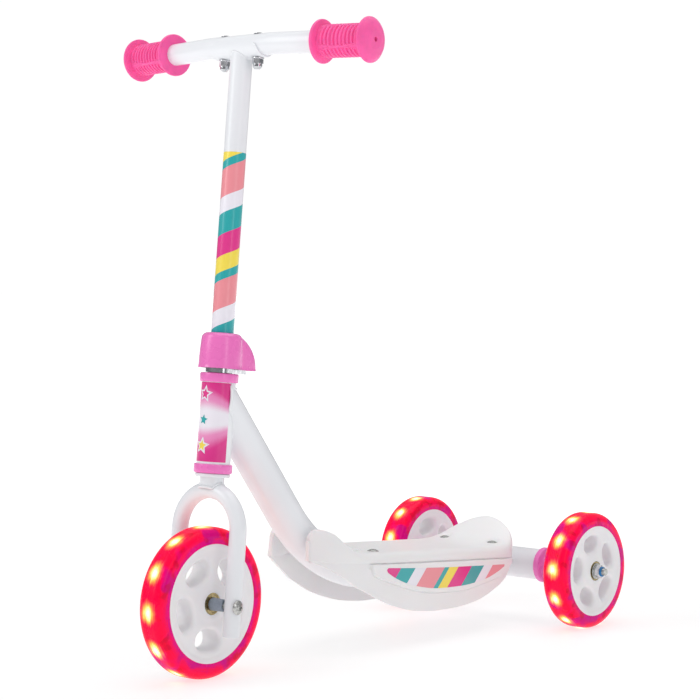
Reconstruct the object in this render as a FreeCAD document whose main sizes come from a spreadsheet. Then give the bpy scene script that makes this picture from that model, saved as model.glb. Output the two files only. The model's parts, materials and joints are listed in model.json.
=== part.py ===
"""Three-wheeled kick scooter for a small child, as a parametric document.

The scooter stands on Z = 0 and rolls towards -Y. The origin is on the ground, midway between
the front of the front tyre and the back of the rear tyres. Lengths are millimetres, angles degrees.
"""
import FreeCAD
import Part
import math
import os
import Sketcher
from FreeCAD import Placement, Rotation, Vector

X_AXIS = Vector(1, 0, 0)
Y_AXIS = Vector(0, 1, 0)
Z_AXIS = Vector(0, 0, 1)
SIDES = {"left": -1, "right": 1}

# Driving dimensions, kept in the document's spreadsheet.
DIMENSIONS = {
    # wheels and their ball bearings
    "front_radius": 75, "front_tyre_width": 30, "front_hub_radius": 59.2, "front_hub_width": 29.4,
    "rear_radius": 65, "rear_tyre_width": 31, "rear_hub_radius": 51, "rear_hub_width": 30.6,
    "tyre_corner": 9, "rear_track": 236, "wheel_base": 496, "front_axle_y": -243,
    "bearing_radius": 11, "bearing_width": 7, "bearing_bore": 4.05, "hub_core": 9.5,
    "pocket_inner": 0.42, "pocket_outer": 0.79, "pocket_corner": 6, "pocket_edge": 2,
    "front_pocket_turn": 65, "rear_pocket_turn": 46.6,
    "axle_head_radius": 7, "axle_head_height": 3.6, "axle_nut_radius": 6.4, "axle_nut_height": 7.5,
    "light_radius": 2.5, "light_length": 4, "light_play": 0.1,
    "axle_radius": 4, "sleeve_radius": 8, "gap": 0.3, "spacer_radius": 6.5,
    # steering axis and fork
    "steering_tilt": 5.48, "fork_offset": 2.34, "fork_tube": 8.5, "fork_wall": 1.5,
    "fork_half": 40, "fork_foot": 30, "fork_shoulder": 70.5, "steerer_radius": 12.2,
    "steerer_bore": 11.2, "steerer_bottom": 112, "steerer_top": 262, "race_radius": 17.5,
    "race_bottom": 123.6,
    # head tube and its rings
    "ring_radius": 19.15, "ring_height": 9, "lower_ring_bottom": 127.3, "head_bottom": 131,
    "head_top": 222, "upper_ring_top": 226.2, "head_radius": 17, "head_bore": 15.2,
    "ring_bore": 13, "bush_length": 10, "bush_bore": 12.27,
    # stem, clamp and cover
    "stem_radius": 11.1, "stem_wall": 1.5, "stem_bottom": 165, "bar_height": 552.6,
    "clamp_radius": 14.4, "clamp_bottom": 226.8, "clamp_height": 20, "ear_reach": 31,
    "ear_thickness": 5, "clamp_gap": 3, "clamp_bolt_radius": 3, "clamp_bolt_y": 24,
    "clamp_shank_half": 10, "clamp_head_radius": 4.5, "clamp_head_height": 2.5,
    "clamp_nut_flats": 9, "clamp_nut_height": 4,
    "cover_bottom": 231, "cover_height": 35, "cover_radius": 21, "cover_top_radius": 15.5,
    "cover_reach": 43, "cover_half_width": 13, "cover_wall": 2,
    # handlebar, cradle and grips
    "bar_radius": 11, "bar_wall": 1.5, "bar_straight": 35, "bar_bend": 120, "bar_sweep": 5.38,
    "bar_droop": 18.4, "bar_arm": 110, "cradle_radius": 13, "cradle_half": 32,
    "bar_bolt_spread": 22.5, "bar_bolt_radius": 3, "bar_bolt_head": 5.5, "dome_height": 2.2,
    "cap_nut_flats": 10, "cap_nut_height": 12, "washer_height": 1.2, "bolt_play": 0.05,
    "grip_start": 100, "grip_end": 165, "grip_flange": 21.5, "grip_flange_width": 4,
    "grip_radius": 16, "grip_cap_radius": 22.2, "grip_cap_width": 9, "grip_hole": 1.5,
    # main tube and rear axle
    "main_radius": 19, "main_wall": 1.6, "main_start_y": 21.7, "main_start_z": 277,
    "main_drop": 51.93, "main_slope": 3.78, "main_bend": 190, "main_front_leg": 159.4,
    "main_rear_leg": 239.4, "cross_radius": 17.5, "cross_wall": 2, "cross_half": 60,
    "cap_flange": 20, "cap_flange_width": 7, "cap_nose": 12, "cap_tip": 7, "cap_plug": 15,
    "rod_half": 147, "washer_radius": 9, "nut_flats": 13, "nut_height": 6.5, "insert_height": 2,
    # deck
    "deck_y": 224, "deck_z": 106, "deck_half_width": 57, "deck_depth": 13, "deck_wall": 3.5,
    "deck_front": 98, "deck_straight": 200, "deck_tail": 246, "deck_tail_rise": 29,
    "deck_ear_rise": 25, "notch_half": 22, "notch_end": 8, "deck_bolt_x": 34,
    "deck_bolt_front": -2, "deck_bolt_rear": 210, "deck_bolt_radius": 3, "deck_bolt_head": 5.5,
    "deck_head_height": 2, "deck_seat_front": 0, "deck_seat_rear": 3, "deck_seat_radius": 6.5,
    "deck_nut_corner": 5.8, "deck_nut_height": 5, "tube_play": 0.3,
    "bracket_half": 42, "bracket_length": 24, "bracket_height": 3, "bracket_lip_wall": 3,
    "bracket_lip_depth": 12, "bracket_lip_inset": 20,
    "skirt_depth": 66, "skirt_wall": 3.5, "relief_height": 1.6,
}
LIGHTS = 12
POCKETS = 5

doc = FreeCAD.newDocument("KickScooter")
nodes = []


class Size:
    """A number together with the spreadsheet expression that it comes from."""

    def __init__(self, number, text):
        self.number = float(number)
        self.text = text

    def joined(self, other, sign, number):
        return Size(number, f"({self.text} {sign} {size(other).text})")

    def __add__(self, other):
        return self.joined(other, "+", self.number + size(other).number)

    def __sub__(self, other):
        return self.joined(other, "-", self.number - size(other).number)

    def __mul__(self, other):
        return self.joined(other, "*", self.number * size(other).number)

    def __truediv__(self, other):
        return self.joined(other, "/", self.number / size(other).number)

    def __neg__(self):
        return self * -1


def size(value):
    """A Size as it is, or a plain number made into one."""
    return value if isinstance(value, Size) else Size(value, f"({float(value)!r})")


def dim(name):
    """The Size of one driving dimension."""
    return Size(DIMENSIONS[name], f"Sizes.{name}")


def sine(angle):
    return Size(math.sin(math.radians(angle.number)), f"sin({angle.text} * 1 deg)")


def cosine(angle):
    return Size(math.cos(math.radians(angle.number)), f"cos({angle.text} * 1 deg)")


def make_sheet():
    """Write every driving dimension into the spreadsheet, one aliased cell each."""
    sheet = doc.addObject("Spreadsheet::Sheet", "Sizes")
    for row, (name, number) in enumerate(DIMENSIONS.items(), start=1):
        sheet.set(f"A{row}", name.replace("_", " "))
        sheet.set(f"B{row}", str(number))
        sheet.setAlias(f"B{row}", name)
    doc.recompute()


def bind(thing, **values):
    """Set properties from sizes, and keep each one tied to the spreadsheet."""
    for name, value in values.items():
        value = size(value)
        setattr(thing, name, value.number)
        thing.setExpression(name, value.text)


def place(thing, at=(0, 0, 0), axis=Z_AXIS, angle=0):
    """Turn a thing about an axis through its own origin, then move it, tied to the spreadsheet."""
    at = [size(value) for value in at]
    angle = size(angle)
    base = Vector(*[value.number for value in at])
    thing.Placement = Placement(base, Rotation(axis, angle.number))
    for letter, value in zip("xyz", at):
        thing.setExpression(f"Placement.Base.{letter}", value.text)
    thing.setExpression("Placement.Rotation.Angle", f"{angle.text} * 1 deg")
    return thing


def node(thing, label):
    """Name a finished sub-part, which is one file of the model."""
    thing.Label = label
    nodes.append(thing)
    return thing


# Places that many sub-parts share.
FRONT_AXLE = (0, dim("front_axle_y"), dim("front_radius"))
REAR_AXLE_Y = dim("front_axle_y") + dim("wheel_base")
REAR_AXLE = (0, REAR_AXLE_Y, dim("rear_radius"))


def steering_point(height, behind=0):
    """Y and Z of the point at a height along the steering axis and a distance behind it."""
    tilt = dim("steering_tilt")
    y = dim("front_axle_y") + dim("fork_offset") + sine(tilt) * height + cosine(tilt) * behind
    z = dim("front_radius") + cosine(tilt) * height - sine(tilt) * behind
    return y, z


def on_steering(thing, height=0, x=0):
    """Stand a thing on the steering axis, or beside it, its own Z along the axis from a height."""
    return place(thing, (x, *steering_point(height)), X_AXIS, -dim("steering_tilt"))


def on_deck(thing):
    """Put a thing in the deck's own frame: top face at Z = 0, Y running back and slightly down."""
    y = dim("front_axle_y") + dim("deck_y")
    return place(thing, (0, y, dim("deck_z")), X_AXIS, -dim("main_slope"))


# Sketches and bodies.
def new_body(name):
    return doc.addObject("PartDesign::Body", name)


def new_sketch(body, plane, name, lift=0):
    """A sketch on one of the body's own origin planes, lifted along the plane's normal."""
    sketch = body.newObject("Sketcher::SketchObject", name)
    origin = [part for part in body.Origin.OriginFeatures if part.Role == plane][0]
    sketch.AttachmentSupport = [(origin, "")]
    sketch.MapMode = "FlatFace"
    lift = size(lift)
    sketch.AttachmentOffset = Placement(Vector(0, 0, lift.number), Rotation())
    if lift.number:
        sketch.setExpression("AttachmentOffset.Base.z", lift.text)
    return sketch


def pin_point(sketch, edge, end, x, y):
    """Hold one end of a sketch edge at (x, y), each distance tied to the spreadsheet."""
    for kind, value, axis in (("DistanceX", size(x), -2), ("DistanceY", size(y), -1)):
        if value.number == 0:
            sketch.addConstraint(Sketcher.Constraint("PointOnObject", edge, end, axis))
            continue
        index = sketch.addConstraint(Sketcher.Constraint(kind, -1, 1, edge, end, value.number))
        sketch.setExpression(f"Constraints[{index}]", value.text)


def draw_polygon(sketch, points):
    """A closed outline of straight edges through the points."""
    corners = [Vector(size(x).number, size(y).number, 0) for x, y in points]
    count = len(corners)
    edges = [Part.LineSegment(corners[i], corners[(i + 1) % count]) for i in range(count)]
    sketch.addGeometry(edges, False)
    for i in range(count):
        sketch.addConstraint(Sketcher.Constraint("Coincident", i, 2, (i + 1) % count, 1))
    for i, (x, y) in enumerate(points):
        pin_point(sketch, i, 1, x, y)


def draw_circle(sketch, x, y, radius):
    """A circle at (x, y)."""
    centre = Vector(size(x).number, size(y).number, 0)
    edge = sketch.addGeometry(Part.Circle(centre, Z_AXIS, size(radius).number), False)
    index = sketch.addConstraint(Sketcher.Constraint("Radius", edge, size(radius).number))
    sketch.setExpression(f"Constraints[{index}]", size(radius).text)
    if size(x).number == 0 and size(y).number == 0:
        sketch.addConstraint(Sketcher.Constraint("Coincident", edge, 3, -1, 1))
    else:
        pin_point(sketch, edge, 3, x, y)


def lathe(name, profile):
    """A body turned about its own Z from a closed profile of (radius, height) points."""
    body = new_body(name)
    sketch = new_sketch(body, "XZ_Plane", f"{name}_profile")
    draw_polygon(sketch, profile)
    turned = body.newObject("PartDesign::Revolution", f"{name}_turned")
    turned.Profile = sketch
    turned.ReferenceAxis = (sketch, ["V_Axis"])
    turned.Angle = 360
    sketch.Visibility = False
    doc.recompute()
    return body


def round_edges(body, chosen, radius, kind="Fillet"):
    """Round or chamfer the edges of the body's last feature that the function chosen accepts."""
    base = body.Tip
    names = [f"Edge{i}" for i, edge in enumerate(base.Shape.Edges, start=1) if chosen(edge)]
    finish = body.newObject(f"PartDesign::{kind}", f"{body.Name}_{kind.lower()}")
    finish.Base = (base, names)
    bind(finish, **{"Radius" if kind == "Fillet" else "Size": radius})
    body.Tip = finish
    doc.recompute()
    return body


def circle_of(*radii):
    """Accepts the circular edges about the body's axis that have one of the radii."""
    numbers = [size(radius).number for radius in radii]

    def chosen(edge):
        if not hasattr(edge.Curve, "Radius"):
            return False
        return any(abs(edge.Curve.Radius - number) < 0.01 for number in numbers)
    return chosen


def ring_profile(outer, inner, bottom, top):
    """The four corners of a plain ring's section."""
    return [(inner, bottom), (outer, bottom), (outer, top), (inner, top)]


def ring(name, outer, inner, bottom, top, edge=0):
    """A plain ring or disc about Z with its outer edges rounded."""
    body = lathe(name, ring_profile(outer, inner, bottom, top))
    return round_edges(body, circle_of(outer), edge) if edge else body


def cylinder(name, radius, length, at=(0, 0, 0), axis=Z_AXIS, angle=0):
    """A plain cylinder from its start point along its turned Z."""
    solid = doc.addObject("Part::Cylinder", name)
    bind(solid, Radius=radius, Height=length)
    return place(solid, at, axis, angle)


def crossbar(name, radius, half, y, z):
    """A cylinder along X that is centred on X = 0."""
    return cylinder(name, radius, size(half) * 2, (-size(half), y, z), Y_AXIS, 90)


def cut(name, base, *tools):
    """The base with every tool taken away, one after another."""
    for i, tool in enumerate(tools):
        result = doc.addObject("Part::Cut", f"{name}_cut{i}")
        result.Base = base
        result.Tool = tool
        base = result
    doc.recompute()
    return base


def group(label, *things):
    """Separate solids of like pieces that share one node."""
    compound = doc.addObject("Part::Compound", f"{label}_group")
    compound.Links = list(things)
    doc.recompute()
    return node(compound, label)


def hexagon(name, flats, bottom, top, hole=0):
    """A hexagonal prism about Z, with a round hole when one is asked for."""
    body = new_body(name)
    sketch = new_sketch(body, "XY_Plane", f"{name}_outline", bottom)
    corner = size(flats) / math.sqrt(3)
    turns = [Size(math.radians(60 * i), f"({60 * i} deg)") for i in range(6)]
    draw_polygon(sketch, [(corner * math.cos(t.number), corner * math.sin(t.number)) for t in turns])
    if hole:
        draw_circle(sketch, 0, 0, hole)
    pad = body.newObject("PartDesign::Pad", f"{name}_prism")
    pad.Profile = sketch
    bind(pad, Length=size(top) - bottom)
    doc.recompute()
    return body


def leg_vector(angle, length):
    """The step along a leg that leaves at an angle in its sketch."""
    turn = math.radians(size(angle).number)
    return Vector(math.cos(turn), math.sin(turn), 0) * size(length).number


def bent_path(body, plane, start, legs, bend):
    """A sketched path: a straight leg, one tangent bend and a second straight leg.

    start is the path's first point and legs holds each leg's (angle, length) in the sketch.
    """
    path = new_sketch(body, plane, f"{body.Name}_path")
    first, last = [leg_vector(angle, 1) for angle, _ in legs]
    turn = 1 if size(legs[1][0]).number > size(legs[0][0]).number else -1
    radius = size(bend).number * turn
    p0 = Vector(size(start[0]).number, size(start[1]).number, 0)
    p1 = p0 + leg_vector(*legs[0])
    centre = p1 + Vector(-first.y, first.x, 0) * radius
    p2 = centre - Vector(-last.y, last.x, 0) * radius
    p3 = p2 + leg_vector(*legs[1])
    middle = (first + last).normalize()
    arc_top = centre - Vector(-middle.y, middle.x, 0) * radius
    path.addGeometry([Part.LineSegment(p0, p1), Part.Arc(p1, arc_top, p2),
                      Part.LineSegment(p2, p3)], False)
    ends = (1, 2) if turn > 0 else (2, 1)
    path.addConstraint(Sketcher.Constraint("Tangent", 0, 2, 1, ends[0]))
    path.addConstraint(Sketcher.Constraint("Tangent", 1, ends[1], 2, 1))
    pin_point(path, 0, 1, *start)
    for edge, (angle, length) in ((0, legs[0]), (2, legs[1])):
        tie(path, size(length), "", "Distance", edge)
        if size(angle).number == 0:
            path.addConstraint(Sketcher.Constraint("Horizontal", edge))
        else:
            tie(path, size(angle), " * 1 deg", "Angle", edge)
    tie(path, size(bend), "", "Radius", 1)
    return path


def tie(sketch, value, unit, kind, *where):
    """Add one constraint with a value, tied to the spreadsheet."""
    number = math.radians(value.number) if unit else value.number
    index = sketch.addConstraint(Sketcher.Constraint(kind, *where, number))
    sketch.setExpression(f"Constraints[{index}]", value.text + unit)


def sweep(body, path, section, outer, wall, at=(0, 0)):
    """Sweep a round tube section along the body's path."""
    draw_circle(section, *at, outer)
    draw_circle(section, *at, size(outer) - wall)
    doc.recompute()
    swept = body.newObject("PartDesign::AdditivePipe", f"{body.Name}_swept")
    swept.Profile = section
    swept.Spine = (path, [f"Edge{i + 1}" for i in range(len(path.Shape.Edges))])
    doc.recompute()
    return body


# Wheels.
def make_tyre(label, axle, radius, hub_radius, width):
    """A tyre with a softly rounded tread on a plain hub seat."""
    half = width / 2
    body = lathe(f"{label}_body", ring_profile(radius, hub_radius, -half, half))
    round_edges(body, circle_of(radius), dim("tyre_corner"))
    return node(place(body, axle, Y_AXIS, 90), label)


def pocket_outline(hub_radius, phase):
    """Corners of one hub pocket, wider outside than inside, turned by a phase about the axle."""
    inner, outer = hub_radius * dim("pocket_inner"), hub_radius * dim("pocket_outer")
    corners = ((inner, -20), (outer, -23), (outer * 1.05, 0), (outer, 23), (inner, 20))
    return [(reach * cosine(phase + angle), reach * sine(phase + angle)) for reach, angle in corners]


def make_hub(label, axle, radius, width, phase):
    """A hub disc with five rounded pockets, two bearing seats and a ring of light sockets."""
    half = width / 2
    seat = half - dim("bearing_width")
    bearing, core = dim("bearing_radius"), dim("hub_core")
    body = lathe(f"{label}_body", [(bearing, -half), (radius, -half), (radius, half), (bearing, half),
                                   (bearing, seat), (core, seat), (core, -seat), (bearing, -seat)])
    sketch = new_sketch(body, "XY_Plane", f"{label}_pocket")
    draw_polygon(sketch, pocket_outline(radius, phase))
    pocket = body.newObject("PartDesign::Pocket", f"{label}_window")
    pocket.Profile = sketch
    pocket.Type = "ThroughAll"
    pocket.Midplane = True
    pattern = body.newObject("PartDesign::PolarPattern", f"{label}_windows")
    pattern.Originals = [pocket]
    pattern.Axis = (sketch, ["N_Axis"])
    pattern.Angle = 360
    pattern.Occurrences = POCKETS
    body.Tip = pattern
    doc.recompute()
    inner_limit = radius.number * 0.9

    def pocket_corner(edge):
        point = edge.CenterOfMass
        straight = edge.Curve.TypeId == "Part::GeomLine" and edge.Length > width.number * 0.9
        return straight and math.hypot(point.x, point.y) < inner_limit
    round_edges(body, pocket_corner, dim("pocket_corner"))

    def pocket_mouth(edge):
        centre = edge.BoundBox.Center
        flat = edge.BoundBox.ZLength < 0.01 and abs(abs(centre.z) - half.number) < 0.01
        reach = max(math.hypot(v.X, v.Y) for v in edge.Vertexes)
        return flat and radius.number * 0.3 < reach < inner_limit and len(edge.Vertexes) == 2
    round_edges(body, pocket_mouth, dim("pocket_edge"), "Chamfer")
    sockets = make_lights(f"{label}_socket", axle, radius, dim("light_play"))
    return node(cut(label, place(body, axle, Y_AXIS, 90), *sockets), label)


def make_lights(name, axle, hub_radius, play):
    """Round light modules just below the hub's rim, or with some play their sockets in the hub."""
    lights = []
    length = dim("light_length") + play
    start = hub_radius - dim("light_length") - dim("light_play")
    for i in range(LIGHTS):
        angle = 360 / LIGHTS * i
        y = start * math.cos(math.radians(angle))
        z = start * math.sin(math.radians(angle))
        at = (axle[0], size(axle[1]) + y, size(axle[2]) + z)
        lights.append(cylinder(f"{name}{i}", dim("light_radius") + play, length, at, X_AXIS, angle - 90))
    return lights


def make_bearings(label, axle, hub_width):
    """The two ball bearings that sit flush in the hub's faces."""
    races = []
    for side in SIDES.values():
        seat = (hub_width / 2 - dim("bearing_width")) if side > 0 else -(hub_width / 2)
        race = ring(f"{label}_race{side + 1}", dim("bearing_radius"), dim("bearing_bore"), seat,
                    seat + dim("bearing_width"), 0.5)
        races.append(place(race, axle, Y_AXIS, 90))
    return group(label, *races)


def make_wheel(prefix, axle, suffix):
    """One whole wheel: tyre, hub, bearings and lights."""
    hub_radius, hub_width = dim(f"{prefix}_hub_radius"), dim(f"{prefix}_hub_width")
    make_tyre(f"{prefix}_tyre{suffix}", axle, dim(f"{prefix}_radius"), hub_radius,
              dim(f"{prefix}_tyre_width"))
    make_hub(f"{prefix}_hub{suffix}", axle, hub_radius, hub_width, dim(f"{prefix}_pocket_turn"))
    make_bearings(f"{prefix}_bearings{suffix}", axle, hub_width)
    group(f"{prefix}_lights{suffix}", *make_lights(f"{prefix}_light{suffix}_", axle, hub_radius, size(0)))


def magnet_sleeve(name, axle, hub_width):
    """The magnet sleeve that stands on the axle between a wheel's bearings."""
    half = hub_width / 2 - dim("bearing_width") - dim("gap")
    return place(ring(name, dim("sleeve_radius"), dim("bearing_bore"), -half, half, 0.5),
                 axle, Y_AXIS, 90)


# Front axle, fork and steerer.
def dome_head(name, radius, height, at, axis, angle):
    """A low domed bolt head with a rounded rim that sits on Z = 0."""
    radius, height = size(radius), size(height)
    body = lathe(name, [(0, 0), (radius, 0), (radius, height * 0.35), (radius * 0.8, height * 0.78),
                        (radius * 0.45, height * 0.96), (0, height)])
    return place(body, at, axis, angle)


def fused(label, *things):
    """One solid made of the things."""
    union = doc.addObject("Part::MultiFuse", f"{label}_fused")
    union.Shapes = list(things)
    union.Refine = True
    doc.recompute()
    return node(union, label)


def make_front_axle():
    """Axle bolt through both fork legs, its cap nut, spacers and magnet sleeve."""
    y, z = FRONT_AXLE[1], FRONT_AXLE[2]
    face = dim("fork_half") + dim("fork_tube")
    shank = crossbar("axle_shank", dim("axle_radius"), face, y, z)
    head = dome_head("axle_head", dim("axle_head_radius"), dim("axle_head_height"), (face, y, z),
                     Y_AXIS, 90)
    fused("front_axle_bolt", shank, head)
    nut_body = dome_head("axle_nut_dome", dim("axle_nut_radius"), dim("axle_nut_height"), (-face, y, z),
                         Y_AXIS, -90)
    node(nut_body, "front_axle_nut")
    spacers = []
    for side in SIDES.values():
        start = dim("front_hub_width") / 2 + dim("gap")
        end = dim("fork_half") - dim("fork_tube") - dim("bolt_play")
        spacer = ring(f"front_spacer{side + 1}", dim("spacer_radius"), dim("bearing_bore"),
                      start, end, 0.5)
        spacers.append(place(spacer, FRONT_AXLE, Y_AXIS, 90 * side))
    group("front_spacers", *spacers)
    node(magnet_sleeve("front_sleeve", FRONT_AXLE, dim("front_hub_width")), "front_magnet_sleeve")


def make_fork():
    """The fork: a tube bent into a U over the wheel, drilled for the axle, with its steerer."""
    body = new_body("fork_body")
    path = new_sketch(body, "XZ_Plane", "fork_path")
    half, foot, shoulder = dim("fork_half"), dim("fork_foot"), dim("fork_shoulder")
    ends = [Vector(half.number * s, z, 0) for s in (1, -1) for z in (-foot.number, shoulder.number)]
    top = Vector(0, shoulder.number + half.number, 0)
    path.addGeometry([Part.LineSegment(ends[0], ends[1]), Part.Arc(ends[1], top, ends[3]),
                      Part.LineSegment(ends[3], ends[2])], False)
    path.addConstraint([Sketcher.Constraint("Coincident", 0, 2, 1, 1),
                        Sketcher.Constraint("Coincident", 1, 2, 2, 1)])
    pin_point(path, 0, 1, half, -foot)
    pin_point(path, 0, 2, half, shoulder)
    pin_point(path, 2, 1, -half, shoulder)
    pin_point(path, 2, 2, -half, -foot)
    tie(path, shoulder, "", "DistanceY", -1, 1, 1, 3)
    section = new_sketch(body, "XY_Plane", "fork_section", -foot)
    sweep(body, path, section, dim("fork_tube"), dim("fork_wall"), (half, 0))
    on_steering(body)
    drill = crossbar("fork_drill", dim("bearing_bore"), 60, FRONT_AXLE[1], FRONT_AXLE[2])
    node(cut("fork_tube", body, drill), "fork_tube")
    tube = ring("steerer_body", dim("steerer_radius"), dim("steerer_bore"), dim("steerer_bottom"),
                dim("steerer_top"))
    arch = doc.addObject("Part::Torus", "fork_arch")
    bind(arch, Radius1=half, Radius2=dim("fork_tube"))
    place(arch, (0, *steering_point(shoulder)), X_AXIS, size(90) - dim("steering_tilt"))
    node(cut("steerer_tube", on_steering(tube), arch), "steerer_tube")


def steering_ring(label, outer, inner, bottom, top, edge=0.5):
    """A ring around the steering axis."""
    return node(on_steering(ring(f"{label}_body", outer, inner, bottom, top, edge)), label)


def head_ring(label, closed_end, open_end):
    """A cup-shaped plastic ring that caps one end of the head tube."""
    outer, bore, seat = dim("ring_radius"), dim("ring_bore"), dim("head_radius")
    tube_end = dim("head_bottom") if closed_end.number < open_end.number else dim("head_top")
    body = lathe(f"{label}_body", [(bore, closed_end), (outer, closed_end), (outer, open_end),
                                   (seat, open_end), (seat, tube_end), (bore, tube_end)])
    return node(on_steering(round_edges(body, circle_of(outer), 1.2)), label)


def make_head():
    """Head tube, the pink rings on its ends, the bushes inside it and the crown race below it."""
    bottom, top, bush = dim("head_bottom"), dim("head_top"), dim("bush_length")
    node(on_steering(ring("head_body", dim("head_radius"), dim("head_bore"), bottom, top)), "head_tube")
    lower, upper = dim("lower_ring_bottom"), dim("upper_ring_top")
    head_ring("lower_head_ring", lower, lower + dim("ring_height"))
    head_ring("upper_head_ring", upper, upper - dim("ring_height"))
    steering_ring("lower_head_bush", dim("head_bore"), dim("bush_bore"), bottom, bottom + bush)
    steering_ring("upper_head_bush", dim("head_bore"), dim("bush_bore"), top - bush, top)
    steering_ring("fork_crown_race", dim("race_radius"), dim("steerer_radius"), dim("race_bottom"),
                  lower - dim("gap"), 0.8)


# Stem, clamp and cover.
def make_stem():
    """The straight stem, coped at its top to the handlebar's cradle."""
    outer = dim("stem_radius")
    tube = ring("stem_body", outer, outer - dim("stem_wall"), dim("stem_bottom"), dim("bar_height"))
    cope = cylinder("stem_cope", dim("cradle_radius"), 60)
    node(cut("stem_tube", on_steering(tube), on_bar(cope, -30)), "stem_tube")


def on_bar(thing, start=0):
    """Lay a thing's Z along the handlebar's middle, from a distance to the left or right."""
    return place(thing, (start, *steering_point(dim("bar_height"))), Y_AXIS, 90)


def make_clamp():
    """The split clamp collar on the steerer, with two ears, a bolt and a nut."""
    body = new_body("clamp_body")
    bottom, height = dim("clamp_bottom"), dim("clamp_height")
    outline = new_sketch(body, "XY_Plane", "clamp_outline", bottom)
    draw_circle(outline, 0, 0, dim("clamp_radius"))
    band = body.newObject("PartDesign::Pad", "clamp_band")
    band.Profile = outline
    bind(band, Length=height)
    ear_half = dim("clamp_gap") / 2 + dim("ear_thickness")
    ears = new_sketch(body, "XY_Plane", "clamp_ears", bottom)
    draw_polygon(ears, [(-ear_half, 5), (ear_half, 5), (ear_half, dim("ear_reach")),
                        (-ear_half, dim("ear_reach"))])
    lugs = body.newObject("PartDesign::Pad", "clamp_lugs")
    lugs.Profile = ears
    bind(lugs, Length=height)
    for name, draw in (("clamp_bore", lambda s: draw_circle(s, 0, 0, dim("steerer_radius"))),
                       ("clamp_slit", lambda s: draw_polygon(s, clamp_slit()))):
        hole = new_sketch(body, "XY_Plane", f"{name}_outline")
        draw(hole)
        opened = body.newObject("PartDesign::Pocket", name)
        opened.Profile = hole
        opened.Type = "ThroughAll"
        opened.Midplane = True
    doc.recompute()
    y, z = steering_point(bottom + height / 2, dim("clamp_bolt_y"))
    radius, half = dim("clamp_bolt_radius"), dim("clamp_shank_half")
    drill = crossbar("clamp_drill", radius + dim("bolt_play"), half + 2, y, z)
    node(cut("stem_clamp", on_steering(body), drill), "stem_clamp")
    shank = crossbar("clamp_shank", radius, half, y, z)
    head = dome_head("clamp_head", dim("clamp_head_radius"), dim("clamp_head_height"),
                     (-ear_half, y, z), Y_AXIS, -90)
    fused("clamp_bolt", shank, head)
    nut = hexagon("clamp_nut_body", dim("clamp_nut_flats"), 0, dim("clamp_nut_height"), radius)
    node(place(nut, (ear_half, y, z), Y_AXIS, 90), "clamp_nut")


def clamp_slit():
    """Outline of the slit between the clamp's ears."""
    half = dim("clamp_gap") / 2
    reach = dim("ear_reach") + 2
    return [(-half, 8), (half, 8), (half, reach), (-half, reach)]


def read(name):
    """A driving dimension as the spreadsheet holds it, for shapes set in code."""
    return float(doc.Sizes.get(name))


def coded(label, shape):
    """A sub-part whose shape is worked out in code."""
    feature = doc.addObject("Part::Feature", f"{label}_shape")
    feature.Shape = shape
    return feature


def dome_section(radius, top_radius, height):
    """Half outline of the cover's front dome: upright skirt that rounds over to a flat top."""
    shoulder = height - (radius - top_radius)
    bulge = (radius - top_radius) * math.cos(math.radians(45))
    mid = Vector(top_radius + bulge, 0, shoulder + bulge)
    edges = [Part.LineSegment(Vector(0, 0, 0), Vector(radius + 1, 0, 0)).toShape(),
             Part.LineSegment(Vector(radius + 1, 0, 0), Vector(radius, 0, shoulder)).toShape(),
             Part.Arc(Vector(radius, 0, shoulder), mid, Vector(top_radius, 0, height)).toShape(),
             Part.LineSegment(Vector(top_radius, 0, height), Vector(0, 0, height)).toShape(),
             Part.LineSegment(Vector(0, 0, height), Vector(0, 0, 0)).toShape()]
    return Part.Face(Part.Wire(edges))


def cover_solid(inset):
    """The cover's outside, or its inside when it is inset by the wall."""
    radius, height = read("cover_radius") - inset, read("cover_height") - inset
    dome = dome_section(radius, read("cover_top_radius") - inset, height)
    dome = dome.revolve(Vector(), Z_AXIS, 360)
    reach, half = read("cover_reach") - inset, read("cover_half_width") - inset
    quarter = Part.Ellipse(Vector(0, 0, 0), reach, height)
    quarter.rotate(Placement(Vector(), Rotation(Vector(1, 1, 1), 120)))
    edges = [quarter.toShape(0, math.pi / 2)]
    first, last = edges[0].Vertexes[0].Point, edges[0].Vertexes[-1].Point
    edges.append(Part.LineSegment(last, Vector(0, 0, 0)).toShape())
    edges.append(Part.LineSegment(Vector(0, 0, 0), first).toShape())
    lobe = Part.Face(Part.Wire(Part.__sortEdges__(edges)))
    lobe.translate(Vector(-half, 0, 0))
    return dome.fuse(lobe.extrude(Vector(2 * half, 0, 0))).removeSplitter()


def make_cover():
    """The hollow plastic cover over the clamp: a dome in front and a lobe over the ears."""
    outside = cover_solid(0)
    inside = cover_solid(read("cover_wall"))
    hole = Part.makeCylinder(read("stem_radius") + 0.1, 100, Vector(0, 0, -10))
    shape = outside.cut(inside).cut(hole)
    node(on_steering(coded("clamp_cover", shape), dim("cover_bottom")), "clamp_cover")


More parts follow.
